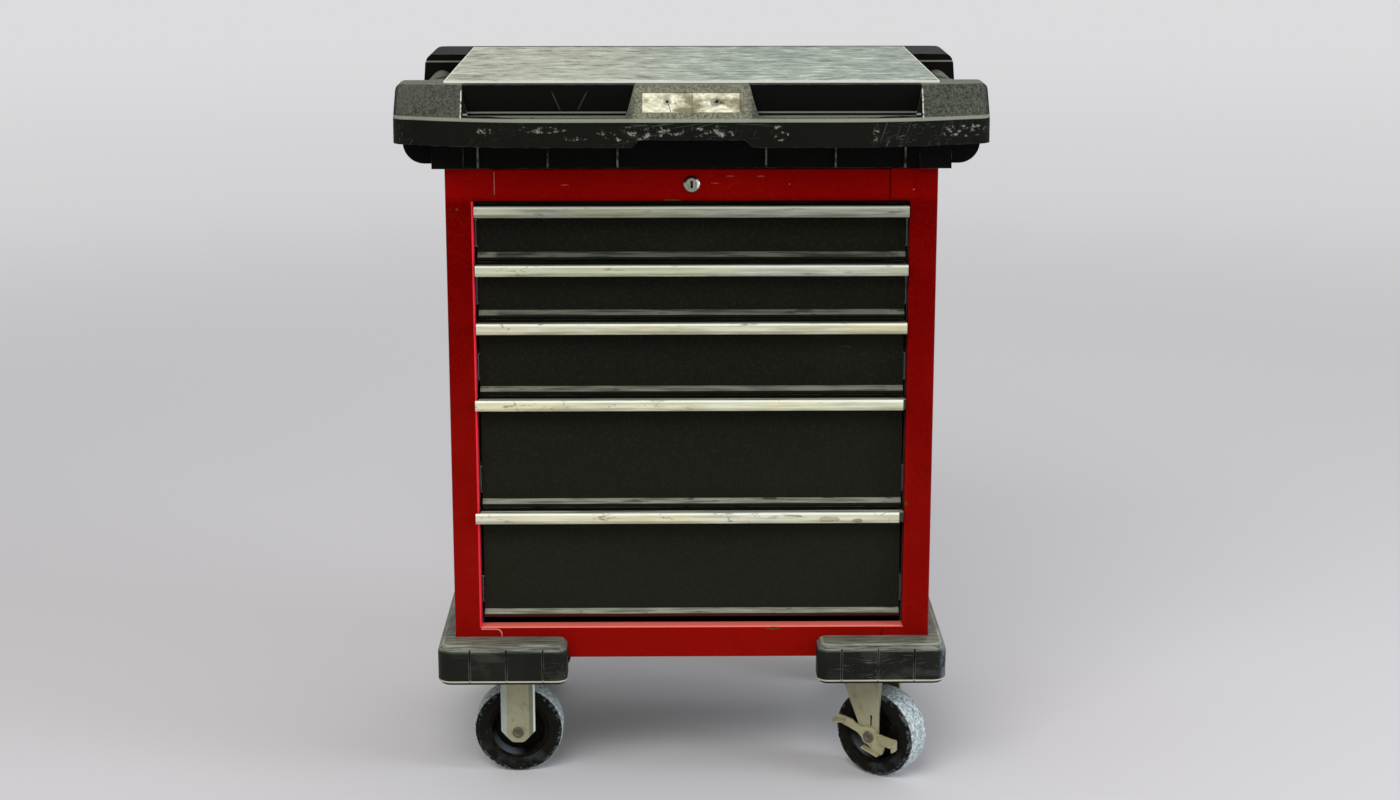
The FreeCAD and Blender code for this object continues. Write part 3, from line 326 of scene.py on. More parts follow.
def tab_outline(finish, width):
    """A thin line round the lower tabs, with their rounded corner."""
    side = abs(finish.x)
    across = (side - TAB_X) * -1.0 + TAB_ROUND
    up = finish.z - (TAB_LOW_Z - TAB_ROUND)
    across, up = across | 0.0, up | 0.0
    line = near((across * across + up * up).root(), TAB_ROUND, width, width)
    inner = rise(side, TAB_X - 0.001, TAB_X) * rise(side, OPENING_X + 0.001, OPENING_X)
    return line * inner * rise(finish.z, OPENING_Z[0], OPENING_Z[0] - 0.001)


def red_enamel():
    f = Finish("red_enamel", Specular_IOR_Level=0.2, Specular_Tint=(1.0, 0.04, 0.03, 1.0))
    # Painted shade: darker under the tray, brighter towards the floor.
    colour = tint(rise(f.z, *SHADED_TO_LIT_Z), paint(93, 0, 0), paint(133, 11, 6))
    # Painted light: the top rail, in the tray's shadow, is painted brighter.
    colour = lay(colour, rise(f.z, *RAIL_LIT_Z), 127, 3, 1)
    colour = lay(colour, rise(f.x, *RIGHT_STILE_X) * 0.35, 98, 0, 0)
    cloud = patches(f, 9.0, 1.0, detail=5.0)
    colour = lay(colour, rise(cloud, 0.40, 0.72) * 0.22, 144, 16, 10)
    grain = patches(f, 260.0, 8.0, detail=3.0)
    colour = lay(colour, rise(grain, 0.45, 0.70) * 0.22, 152, 22, 14)
    grime = rise(patches(f, 24.0, 4.0, detail=6.0), 0.56, 0.78) * rise(f.z, 0.80, 0.30)
    colour = lay(colour, grime * 0.32, 72, 6, 3)
    marks = scuffs(f, [LEVEL, SLANT, COUNTER_SLANT], 2.0, 1100.0, 60.0, 0.735)
    colour = lay(colour, marks * 0.30, 168, 70, 58)
    return red_details(f, colour, cloud, grime, marks)


def red_details(f, colour, cloud, grime, marks):
    """Painted highlights on the left fold, the lip, the bend and the left seams, dark seams on the right, chips of
    the shell, and its shine.
    """
    front = rise(f.y, *SHELL_FRONT)
    middle, half = sum(OPENING_Z) / 2, (OPENING_Z[1] - OPENING_Z[0]) / 2
    # Painted highlight: a pink line where the left stile folds back towards the drawers.
    fold_highlight = near(f.x, -OPENING_X - 0.0004, 0.0016, 0.0005) * near(f.z, middle, half, 0.001) * front
    colour = lay(colour, fold_highlight * 0.92, 240, 50, 66)
    # Painted light: the bottom rail's upward-facing lip is painted pale pink.
    lit_lip = facing(f, "Z", 0.3, 0.6) * near(f.z, OPENING_Z[0], 0.006, 0.002) * front
    colour = lay(colour, lit_lip * 0.92, 238, 84, 76)
    # Painted highlight along the bend at the rail's front edge.
    bend_highlight = near(f.z, OPENING_Z[0] - 0.0008, 0.0007, 0.0004) * near(f.x, 0.0, OPENING_X, 0.002)
    colour = lay(colour, bend_highlight * front * 0.8, 244, 130, 116)
    thin = edge_mask(f, 0.0011) * rise(patches(f, 42.0, 6.0), 0.35, 0.65)
    colour = lay(colour, thin * 0.35, 186, 56, 50)
    # Seams: dark joints on the right; on the left a painted pale highlight along their edges.
    seam = tab_outline(f, 0.0005) * front
    left = rise(f.x, 0.1, -0.1)
    x, z, half = RIGHT_SEAM
    dark_seam = near(f.x, x, 0.0006, 0.0005) * near(f.z, z, half, 0.002) * front
    colour = lay(colour, ((seam * (1 - left)) | dark_seam) * 0.75, 62, 0, 0)
    x, z, half = LEFT_SEAM
    seam_highlight = near(f.x, x, 0.0003, 0.0004) * near(f.z, z, half, 0.002) * front
    colour = lay(colour, (seam * left * 0.85) | (seam_highlight * 0.40), 214, 150, 130)
    rough = 3.0 * (patches(f, 210.0, 14.0) - 0.5)
    chips = ovals(f, BARE_CHIPS, rough)
    colour = lay(colour, chips * front, 88, 58, 20)
    nicks = ovals(f, PALE_NICKS, rough)
    colour = lay(colour, nicks * 0.38 * front, 190, 104, 88)
    f.feed(Base_Color=colour, Roughness=0.34 + 0.16 * cloud + 0.15 * grime + 0.2 * chips)
    peel = patches(f, 380.0, 3.0, detail=2.0)
    relief(f, peel * 0.4 - marks * 0.5 - chips * 1.5, 0.0002, 0.3, 0.0008)
    return f


red = red_enamel()
print("red enamel:", len(red.tree.nodes), "nodes")

# %% [markdown]
# ## Drawer enamel
# The drawers are the same folded steel in a smooth satin black that leans to olive, with painted shade that keeps
# them darker under the tray and a little lighter towards the floor. Only a few hairlines show on the faces. The
# sloping bead at each foot is painted pale, partly dust and partly a painted highlight where it faces the light,
# paler on the lower drawers, and is streaked along its length, and its ends are rubbed where hands and cloths
# catch. Under the lowest bead the red lip throws a brown-red light back, which is painted there.

# %% Black drawer enamel
LOWEST_BEAD_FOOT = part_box("drawer_5")[0][2] + 0.0055
BEAD_DEPTH, BEAD_ENDS = (-0.180, -0.188), (0.258, 0.268)
HAIRLINE_TURNS = [LEVEL, (0, 1.42, 0), COUNTER_SLANT]


def drawer_enamel():
    f = Finish("drawer_enamel", Specular_IOR_Level=0.06)
    # Painted shade: darker under the tray, lighter towards the floor.
    colour = tint(rise(f.z, 0.80, 0.28), paint(15, 15, 8), paint(27, 28, 20))
    cloud = patches(f, 5.0, 2.0, (2.5, 1, 1), detail=5.0)
    colour = lay(colour, rise(cloud, 0.45, 0.8) * 0.4, 36, 37, 28)
    grain = patches(f, 240.0, 3.0, detail=3.0)
    colour = lay(colour, rise(grain, 0.46, 0.70) * 0.20, 48, 49, 40)
    speck = rise(patches(f, 330.0, 5.0, detail=2.0), 0.68, 0.74)
    speck = speck * rise(patches(f, 16.0, 9.0), 0.48, 0.66)
    colour = lay(colour, speck * 0.12, 104, 106, 92)
    marks = scuffs(f, HAIRLINE_TURNS, 1.0, 1000.0, 55.0, 0.73, (0.56, 0.68))
    colour = lay(colour, marks * 0.30, 110, 112, 98)
    # Painted highlight and dust on the upward bead slope, paler on the lower drawers.
    lit_slope = facing(f, "Z", 0.25, 0.5) * rise(f.y, *BEAD_DEPTH)
    streak = rise(patches(f, 240.0, 6.0, (18, 1, 1), detail=4.0), 0.36, 0.64)
    bead = tint(streak, paint(44, 46, 41), paint(90, 92, 83))
    lower_lit_bead = tint(streak, paint(110, 112, 98), paint(156, 158, 142))
    bead = tint(rise(f.z, 0.78, 0.30) * 0.80, bead, lower_lit_bead)
    ends = rise(abs(f.x), *BEAD_ENDS) * rise(patches(f, 55.0, 8.0), 0.35, 0.55)
    bead = lay(bead, ends * 0.55, 128, 130, 118)
    scored = rise(patches(f, 170.0, 4.0, (7, 1, 1), detail=5.0), 0.60, 0.66)
    bead = lay(bead, scored * 0.7, 34, 34, 28)
    colour = tint(lit_slope, colour, bead)
    below = rise(f.z, LOWEST_BEAD_FOOT, LOWEST_BEAD_FOOT - 0.001) * (1 - lit_slope)
    colour = lay(colour, below * 0.8, 66, 24, 18)
    edge = edge_mask(f, 0.0009) * rise(patches(f, 40.0, 8.0), 0.30, 0.55)
    colour = lay(colour, edge * 0.40, 118, 120, 108)
    f.feed(Base_Color=colour, Roughness=0.46 + 0.14 * cloud + 0.1 * lit_slope)
    peel = patches(f, 420.0, 3.0, detail=2.0)
    relief(f, peel * 0.4 - marks * 0.5 - scored * lit_slope, 0.00018, 0.25, 0.0007)
    return f


black_enamel = drawer_enamel()
print("drawer enamel:", len(black_enamel.tree.nodes), "nodes")

# %% [markdown]
# ## Moulded tray
# The tray is one black moulding, painted in zones. Its sloping front faces up into the light and is painted olive
# grey as painted sheen over a fine grain, paler between the pockets where it faces up more. The band below is
# nearly black and carries silvery scuffs where things were knocked against it. The pockets, the skirt and the rear
# stay black, with painted highlights on the rims, the lip and the ledges and a painted bluish sheen on the pocket
# walls. One material paints all of these from the height, the depth and the direction of the surface, because the
# moulding is one piece.

# %% Zones of the tray
LIP_Z, SLOPE_TOP, BAND_FOOT = 0.9387, 0.983, 0.9056
POCKET_X = (0.073, 0.298)
RIB_X = (0.098, 0.190, 0.282)
PLATE_HALF, PLATE_Z = 0.0640, (0.951, 0.975)
BAND_SCUFFS = [
    (-0.268, 0.927, 0.010, 0.006), (-0.070, 0.924, 0.052, 0.009), (0.026, 0.926, 0.026, 0.008),
    (0.112, 0.925, 0.012, 0.009), (0.237, 0.924, 0.004, 0.010), (0.352, 0.924, 0.030, 0.008),
    (-0.195, 0.929, 0.034, 0.004), (-0.150, 0.918, 0.020, 0.003),
]
# Pocket scratches: x and lean, all at one height.
POCKET_SCRATCHES, SCRATCH_Z = [(-0.176, 0.45), (-0.142, -0.5)], 0.962
TRAY_FRONT, SKIRT_FRONT = (-0.170, -0.195), (-0.213, -0.214)
SLOPE_TOP_Y, SLOPE_LEAN = -0.260, 0.7675
# The block ledges and the rear wall's top, both painted highlights as pale lines.
LEDGE_Z, LEDGE_X, CREST_Z, CREST_Y = 0.9725, (0.326, 0.330), 0.9850, 0.292
BAND_TURNS = [LEVEL, (0, 1.4, 0), STEEP]


def tray_plastic():
    f = Finish("tray_plastic", Specular_IOR_Level=0.06)
    front = rise(f.y, *TRAY_FRONT)
    grain = rise(patches(f, 300.0, 2.0, detail=5.0, rough=0.70), 0.34, 0.66)
    cloud = patches(f, 10.0, 3.0, detail=5.0)
    black = tint(cloud, paint(2, 2, 1), paint(7, 8, 6))
    # Painted sheen: the up-facing slope is painted olive grey over its grain.
    lit_slope_colour = tint(grain, paint(42, 45, 39), paint(88, 91, 80))
    lit_slope_colour = lay(lit_slope_colour, rise(cloud, 0.42, 0.70) * 0.40, 92, 93, 82)
    # Painted light: paler between the pockets, where the slope faces up more.
    centre = near(f.x, 0.0, 0.070, 0.012)
    lit_slope_colour = tint(centre * 0.75, lit_slope_colour, tint(grain, paint(86, 86, 72), paint(150, 150, 130)))
    outside = 1 - inside_pocket(f)
    lit_slope = facing(f, "Z", 0.15, 0.24) * facing(f, "Z", 0.90, 0.80) * outside
    lit_slope = lit_slope * rise(f.z, LIP_Z, LIP_Z + 0.0006) * front
    colour = tint(lit_slope, black, lit_slope_colour)
    # Painted highlight on the rim along the top of the slope.
    rim = facing(f, "Z", 0.85, 0.95) * near(f.z, SLOPE_TOP, 0.003, 0.001) * front * outside
    colour = tint(rim * 0.85, colour, tint(grain, paint(84, 86, 74), paint(132, 134, 118)))
    colour, marks = tray_marks(f, colour, front, cloud)
    plate = near(f.x, 0.0, PLATE_HALF, 0.0006) * near(f.z, sum(PLATE_Z) / 2, 0.012, 0.0006)
    plate = plate * front
    colour = tint(plate, colour, old_glue(f))
    f.feed(Base_Color=colour, Roughness=0.56 + 0.14 * cloud + 0.06 * plate)
    stipple = patches(f, 900.0, 1.0, detail=2.0) + 0.5 * patches(f, 420.0, 6.0, detail=2.0)
    relief(f, stipple * (1 - 0.7 * plate) - marks * 0.5, 0.0004, 0.45, 0.0010)
    return f


def inside_pocket(f):
    """1 on the walls and floor of the two pockets."""
    half = (POCKET_X[1] - POCKET_X[0]) / 2 - 0.001
    between = near(abs(f.x), sum(POCKET_X) / 2, half, 0.001)
    behind_slope = f.y - (SLOPE_TOP_Y - (SLOPE_TOP - f.z) * SLOPE_LEAN)
    return between * rise(behind_slope, 0.0008, 0.0022) * rise(f.z, LIP_Z - 0.03, LIP_Z - 0.02)


# %% Marks on the tray
def tray_marks(f, colour, front, cloud):
    """Scuffs on the band, painted highlights on the pocket rims, the lip and the rear ledges, and rubbed ribs of
    the skirt.
    """
    half = (LIP_Z - BAND_FOOT) / 2 - 0.001
    band = near(f.z, (LIP_Z + BAND_FOOT) / 2, half, 0.001) * front
    colour = tint(band, colour, tint(cloud, paint(9, 9, 6), paint(24, 25, 19)))
    rough = 2.6 * (patches(f, 130.0, 15.0) - 0.5)
    places = ovals(f, BAND_SCUFFS, rough)
    lines = squiggles(f, 190.0, 3.0, 0.045, (1.8, 1, 1))
    lines = lines | squiggles(f, 120.0, 8.0, 0.030, (3, 1, 1), SLANT)
    lines = lines | scratches(f, SLANT, 4.0, 600.0, 18.0, 0.66)
    bright = rise(patches(f, 170.0, 12.0, (1.6, 1, 1)), 0.50, 0.64)
    heavy = band * places * lines * bright
    light = band * scuffs(f, BAND_TURNS, 5.0, 560.0, 34.0, 0.66, (0.44, 0.60))
    colour = lay(colour, heavy * 0.75, 152, 154, 142)
    colour = lay(colour, light * 0.28, 112, 116, 108)
    colour = pocket_marks(f, colour, front)
    # Painted highlight along the lip's edge.
    lit_lip = near(f.z, LIP_Z + 0.0020, 0.0016, 0.0014) * front
    colour = lay(colour, lit_lip * (0.55 + 0.45 * cloud), 142, 146, 132)
    edge = edge_mask(f, 0.0012) * rise(patches(f, 60.0, 7.0), 0.38, 0.62)
    colour = lay(colour, edge * 0.45, 132, 134, 120)
    side = abs(f.x)
    ribs = near(side, RIB_X[0], 0.0010, 0.0003)
    for x in RIB_X[1:]:
        ribs = ribs | near(side, x, 0.0010, 0.0003)
    ribs = ribs * rise(f.z, BAND_FOOT, BAND_FOOT - 0.002) * rise(f.y, *SKIRT_FRONT)
    ribs = ribs * rise(patches(f, 95.0, 4.0), 0.38, 0.62)
    colour = lay(colour, ribs * 0.9, 122, 126, 118)
    behind = rise(f.y, 0.10, 0.14)
    # Painted highlights: pale lines on the block ledges and the rear wall's top.
    ledge_highlight = near(f.z, LEDGE_Z, 0.0009, 0.0005) * rise(side, *LEDGE_X) * behind
    crest = near(f.z, CREST_Z, 0.0010, 0.0006) * near(f.y, CREST_Y, 0.003, 0.001)
    colour = lay(colour, (ledge_highlight * 0.75) | (crest * 0.35), 132, 134, 120)
    return colour, heavy | light


def pocket_marks(f, colour, front):
    """Painted bluish sheen on the side walls, painted highlights on the rims and a few scratches of the two
    pockets.
    """
    inside = inside_pocket(f)
    # Painted bluish sheen from daylight on the pocket side walls.
    sheen_walls = (facing(f, "X", 0.4, 0.7) | facing(f, "X", -0.4, -0.7)) * inside
    colour = lay(colour, sheen_walls * rise(f.z, 0.940, 0.982) * 0.8, 84, 94, 106)
    for x, lean in POCKET_SCRATCHES:
        line = near(f.x - x + (f.z - SCRATCH_Z) * lean, 0.0, 0.0005, 0.0008)
        line = line * near(f.z, SCRATCH_Z, 0.008, 0.006)
        colour = lay(colour, line * inside * 0.30, 84, 92, 92)
    # Painted highlights on the pockets' outer rims.
    rim_highlights = near(abs(f.x), POCKET_X[1], 0.0007, 0.0004) * near(f.z, 0.960, 0.016, 0.003) * front
    rim_highlights = rim_highlights * facing(f, "Y", -0.5, -0.6) * rise(patches(f, 150.0, 3.0), 0.34, 0.52)
    colour = lay(colour, rim_highlights * 0.9, 206, 210, 194)
    # Painted highlight on the rounded strip below each pocket.
    foot = near(f.z, LIP_Z + 0.0085, 0.0008, 0.0006) * near(abs(f.x), 0.190, 0.104, 0.002)
    return lay(colour, foot * front * 0.6, 150, 156, 142)


# %% Old glue where the plate was
SCREW_HALOS = [(-0.032, 0.963, 0.006, 0.005), (0.030, 0.962, 0.007, 0.005)]
SPECKLED = [(0.0, 0.963, 0.024, 0.012), (0.030, 0.962, 0.016, 0.006)]
CRACK_FOOT_X, CRACK_FOOT_Z, CRACK_LEAN = -0.0295, 0.957, 0.35
GLUE_SIDE_X = 0.0625


def old_glue(f):
    """Cream glue with grey rings round the screw holes, a crack, dark specks and painted shade along the recess's
    right and top edges.
    """
    stain = patches(f, 60.0, 11.0, (2.0, 1, 1), detail=6.0)
    glue = tint(rise(stain, 0.38, 0.56), paint(126, 123, 98), paint(240, 237, 212))
    fine = rise(patches(f, 190.0, 7.0, (1.6, 1, 1), detail=5.0), 0.40, 0.62)
    glue = lay(glue, fine * 0.45, 132, 128, 104)
    glue = lay(glue, rise(f.z, 0.966, 0.973) * 0.30, 226, 222, 196)
    rough = 1.8 * (stain - 0.5)
    glue = lay(glue, ovals(f, SCREW_HALOS, rough) * 0.6, 96, 96, 84)
    specks = rise(patches(f, 230.0, 5.0, detail=3.0), 0.60, 0.66) * ovals(f, SPECKLED)
    leaning = f.x + -CRACK_FOOT_X - (CRACK_FOOT_Z - f.z) * CRACK_LEAN
    crack = near(leaning, 0.0, 0.0004, 0.0004) * rise(f.z, 0.961, 0.960)
    seam = near(f.x, 0.0, 0.0004, 0.0004) * rise(patches(f, 300.0, 2.0), 0.40, 0.50)
    glue = lay(glue, (specks | crack | (seam * 0.7)) * 0.85, 62, 58, 42)
    # Painted shade along the recess's right side and top edge.
    recess_shade = near(f.x, GLUE_SIDE_X, 0.0012, 0.0006)
    recess_shade = recess_shade | near(f.z, PLATE_Z[1] - 0.0008, 0.0007, 0.0004)
    return tint(recess_shade * 0.7, glue, paint(92, 86, 58))


tray_black = tray_plastic()
print("tray plastic:", len(tray_black.tree.nodes), "nodes")

# %% [markdown]
# ## Worktop board
# The board is a grey laminate, greener and warmer at its left end. Its print is a fine cloudy
# mottle, drawn out from side to side, and things slid across it have added pale level streaks. Its
# edges are bare of print and almost white.

# %% Mottled laminate
BOARD_HALF, BOARD_FRONT, BARE_EDGE_Z = 0.323, -0.232, (0.9852, 0.9846)
SLIDE_TURNS = [LEVEL, (0, math.pi / 2, 0.5), (0, math.pi / 2, -0.9)]


def worktop_laminate():
    f = Finish("worktop_laminate", Specular_IOR_Level=0.08)
    broad = patches(f, 6.0, 5.0, (1.6, 1, 1), detail=4.0)
    cool = rise(f.x + 0.30 * broad, -0.10, 0.26)
    colour = tint(cool, paint(180, 182, 162), paint(148, 160, 150))
    colour = lay(colour, rise(broad, 0.42, 0.66) * 0.30, 172, 180, 166)
    mottle = patches(f, 42.0, 2.0, (1.5, 1, 1), detail=6.0, rough=0.72)
    colour = lay(colour, rise(mottle, 0.50, 0.68) * 0.85, 222, 228, 213)
    colour = lay(colour, rise(mottle, 0.50, 0.34) * 0.85, 92, 98, 86)
    fine = patches(f, 120.0, 7.0, (2, 1, 1), detail=4.0, rough=0.7)
    colour = lay(colour, rise(fine, 0.55, 0.70) * 0.5, 216, 222, 208)
    colour = lay(colour, rise(fine, 0.45, 0.32) * 0.5, 88, 94, 82)
    marks = scuffs(f, SLIDE_TURNS, 4.0, 500.0, 50.0, 0.69)
    colour = lay(colour, marks * 0.5, 226, 230, 218)
    rim = rise(abs(f.x), BOARD_HALF - 0.0026, BOARD_HALF - 0.0016) | rise(f.z, *BARE_EDGE_Z)
    front = rise(f.y, BOARD_FRONT + 0.003, BOARD_FRONT + 0.002)
    colour = lay(colour, rim | (front * 0.6), 232, 234, 224)
    f.feed(Base_Color=colour, Roughness=0.5 + 0.25 * mottle)
    relief(f, fine * 0.4 + mottle * 0.3 - marks, 0.00015, 0.4, 0.0006)
    return f


laminate = worktop_laminate()
print("worktop laminate:", len(laminate.tree.nodes), "nodes")

# %% [markdown]
# ## Bumpers and grips
# The bumpers are a soft black moulding that takes every knock. Their rounded upper shoulder is grey, partly rubbed
# in long streaks and partly painted light from above, with a painted highlight along its crest, and the side arms
# are painted a lit grey. The face is dark with smudges and short scratches, a thin pale line runs along the foot,
# where the moulding's lower lip begins, and the lip below it is painted near black as shade. The right front
# corner has a painted bluish sheen from daylight. The grips are ribbed rubber, worn grey all round by hands.

# %% Scuffed bumper and grip
BUMPER_FOOT, BUMPER_TOP = 0.157, 0.214
FRONT_TO_SIDE, CORNER_X, CORNER_Y = (-0.200, -0.170), (0.300, 0.350), (-0.180, -0.205)
KNOCK_TURNS = [LEVEL, (0, 1.35, 0), (1.57, 0, 0)]


def bumper_plastic():
    f = Finish("bumper_plastic", Specular_IOR_Level=0.09)
    cloud = patches(f, 16.0, 4.0, detail=6.0)
    colour = tint(cloud, paint(8, 8, 6), paint(34, 35, 30))
    aside = rise(f.y, *FRONT_TO_SIDE)
    across = patches(f, 560.0, 7.0, (22, 1, 1), detail=4.0, rough=0.6)
    along = patches(f, 560.0, 5.0, (1, 22, 1), detail=4.0, rough=0.6)
    streak = across * (1 - aside) + along * aside
    # The up-facing shoulder: partly rubbed grey, partly painted light from above.
    shoulder = facing(f, "Z", 0.12, 0.50)
    rubbed_and_lit = tint(rise(streak, 0.36, 0.64), paint(66, 68, 61), paint(136, 138, 124))
    colour = tint(shoulder * (0.80 + 0.20 * rise(cloud, 0.35, 0.60)), colour, rubbed_and_lit)
    # Painted highlight along the crest of the shoulder.
    crest = near(f.z, BUMPER_TOP - 0.0016, 0.0008, 0.0004) * rise(patches(f, 26.0, 3.0), 0.36, 0.56)
    colour = lay(colour, crest * 0.45, 176, 178, 163)
    # Painted light: the side arms are painted a lit grey.
    arm = rise(f.y, -0.19, -0.15) * rise(f.z, BUMPER_FOOT + 0.010, BUMPER_FOOT + 0.030)
    colour = tint(arm * 0.50, colour, tint(cloud, paint(52, 55, 47), paint(110, 114, 102)))
    sheen = facing(f, "X", 0.45, 0.80) * rise(f.y, *CORNER_Y)
    sheen = sheen * rise(patches(f, 90.0, 5.0), 0.36, 0.60) * rise(f.x, *CORNER_X)
    colour = lay(colour, sheen * 0.55, 116, 130, 144)
    smudge = rise(patches(f, 40.0, 8.0, (2.5, 2.5, 1), detail=6.0), 0.52, 0.70)
    colour = lay(colour, smudge * 0.22, 92, 94, 84)
    marks = scuffs(f, KNOCK_TURNS, 3.0, 640.0, 22.0, 0.69, (0.44, 0.60))
    colour = lay(colour, marks * 0.26, 140, 142, 132)
    edge = edge_mask(f, 0.0014) * rise(patches(f, 34.0, 6.0), 0.32, 0.60)
    colour = lay(colour, edge * 0.5, 156, 158, 146)
    foot = near(f.z, BUMPER_FOOT + 0.0052, 0.0011, 0.0004)
    colour = lay(colour, foot * (0.55 + 0.4 * cloud), 206, 206, 184)
    # Painted shade on the lower lip below the foot line.
    under = rise(f.z, BUMPER_FOOT + 0.0038, BUMPER_FOOT + 0.0028)
    colour = lay(colour, under * 0.9, 10, 10, 8)
    f.feed(Base_Color=colour, Roughness=0.42 + 0.22 * smudge + 0.1 * cloud)
    fine = patches(f, 700.0, 1.0, detail=2.0)
    relief(f, fine * 0.6 + streak * 0.8 - marks * 0.6 - smudge * 0.3, 0.0004, 0.4, 0.0010)
    return f


def grip_rubber():
    f = Finish("grip_rubber", Specular_IOR_Level=0.15)
    cloud = patches(f, 45.0, 2.0, (1, 3, 1), detail=5.0)
    colour = tint(cloud, paint(66, 66, 58), paint(118, 118, 106))
    speck = rise(patches(f, 320.0, 4.0, detail=3.0), 0.55, 0.72)
    colour = lay(colour, speck * 0.5, 150, 148, 132)
    edge = edge_mask(f, 0.0013, 0.99, 0.9) * rise(patches(f, 50.0, 5.0), 0.3, 0.6)
    colour = lay(colour, edge * 0.5, 160, 158, 142)
    f.feed(Base_Color=colour, Roughness=0.6 + 0.2 * cloud)
    relief(f, patches(f, 800.0, 1.0, detail=2.0), 0.0004, 0.4, 0.0006)
    return f


bumper_black = bumper_plastic()
grip_black = grip_rubber()
print("bumper plastic:", len(bumper_black.tree.nodes), "nodes")
print("grip rubber:", len(grip_black.tree.nodes), "nodes")

# %% [markdown]
# ## Handle covers
# Each drawer's cover is an aluminium strip under years of dirt. The five differ mostly by painted shade: the top
# one, deepest in the tray's shadow, is grey, the lower ones creamier and brighter, so each gets its own finish
# from one function. On every strip a painted highlight runs along the upper edge, the middle is brushed level, and
# the lower third turns down and is painted greyer as shade. The lowest strip has two dark smears near its right
# end.

# %% Aluminium covers
# Each cover's dark and light colours, brighter down the drawers as painted shade under the tray.
COVER_SHADED_COLOURS = {
    1: ((122, 124, 112), (158, 160, 147)),
    2: ((158, 161, 147), (194, 197, 182)),
    3: ((176, 174, 149), (214, 212, 189)),
    4: ((190, 189, 162), (226, 226, 202)),
    5: ((186, 185, 163), (224, 223, 204)),
}
SMEARED_COVER = 5
# Its smears: x, height above the cover's foot, width and height. The first is fainter.
SMEARS = [(0.187, 0.006, 0.014, 0.004), (0.226, 0.004, 0.007, 0.003)]


def cover_aluminium(number):
    f = Finish(f"shaded_handle_aluminium_{number}", Metallic=0.15, Specular_IOR_Level=0.3)
    low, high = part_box(f"handle_cover_{number}")
    dark, light = COVER_SHADED_COLOURS[number]
    brushed = patches(f, 230.0, 2.0 + number, (22, 1, 1), detail=4.0, rough=0.6)
    colour = tint(rise(brushed, 0.34, 0.66), paint(*dark), paint(*light))
    cream = rise(patches(f, 14.0, 6.0 + number, (3, 1, 1), detail=5.0), 0.42, 0.62)
    colour = tint(cream * 0.45, colour, paint(light[0], light[1] - 5, light[2] - 40))
    ends = rise(f.x, low[0] + 0.10, low[0] + 0.01)
    colour = lay(colour, ends * 0.35, 222, 220, 194)
    # Painted highlight along the upper edge.
    upper_highlight = rise(f.z, high[2] - 0.0034, high[2] - 0.0018)
    colour = tint(upper_highlight * 0.8, colour, paint(*[min(v + 34, 250) for v in light]))
    # Painted shade on the lower third, which turns down.
    lower_shade = rise(f.z, low[2] + 0.0052, low[2] + 0.0038)
    colour = tint(lower_shade * 0.50, colour, paint(*[v - 26 for v in dark]))
    grey = lower_shade * rise(brushed, 0.56, 0.44)
    colour = tint(grey * 0.35, colour, paint(*[v - 60 for v in dark]))
    dirt = rise(patches(f, 120.0, 3.0 + number, (5, 1, 1), detail=6.0, rough=0.65), 0.58, 0.66)
    dirt = dirt * rise(patches(f, 11.0, number), 0.42, 0.56)
    cuts = squiggles(f, 46.0, 4.0 + number, 0.006, (3, 1, 1))
    cuts = cuts * rise(patches(f, 20.0, 5.0 + number), 0.52, 0.60)
    dirt = dirt | cuts
    if number == SMEARED_COVER:
        rough = 2.4 * (patches(f, 190.0, 8.0) - 0.5)
        large, small = [oval(f, x, low[2] + up, wide, high, rough) for x, up, wide, high in SMEARS]
        dirt = dirt | large * 0.7 | small
    colour = lay(colour, dirt * 0.65, 96, 90, 70)
    f.feed(Base_Color=colour, Roughness=0.38 + 0.15 * brushed + 0.15 * dirt)
    relief(f, brushed * 0.5 - dirt * 0.3, 0.00012, 0.35, 0.0005)
    return f


covers = {number: cover_aluminium(number) for number in COVER_SHADED_COLOURS}
print("handle covers:", len(covers), "finishes")

# %% [markdown]
# ## Plated steel
# The castors are zinc-plated with a yellow-olive cast, smooth and even, with a painted highlight along every cut
# edge. Slides, bolts and the lock's hidden parts are brighter. One function makes these plated steels, because
# they differ only in colour, in how patchy they are and in how clean they are kept; the brake lever's edges are
# dark with grime instead. The fixed castors' legs turn their long edges back: the left one is painted lighter
# where it catches the light, and the right one is painted darker as shade, with a painted highlight on its cut
# edge.

# %% Plated steel in its grades
LEG_FLAT, LEG_HALF = 0.015, 0.024


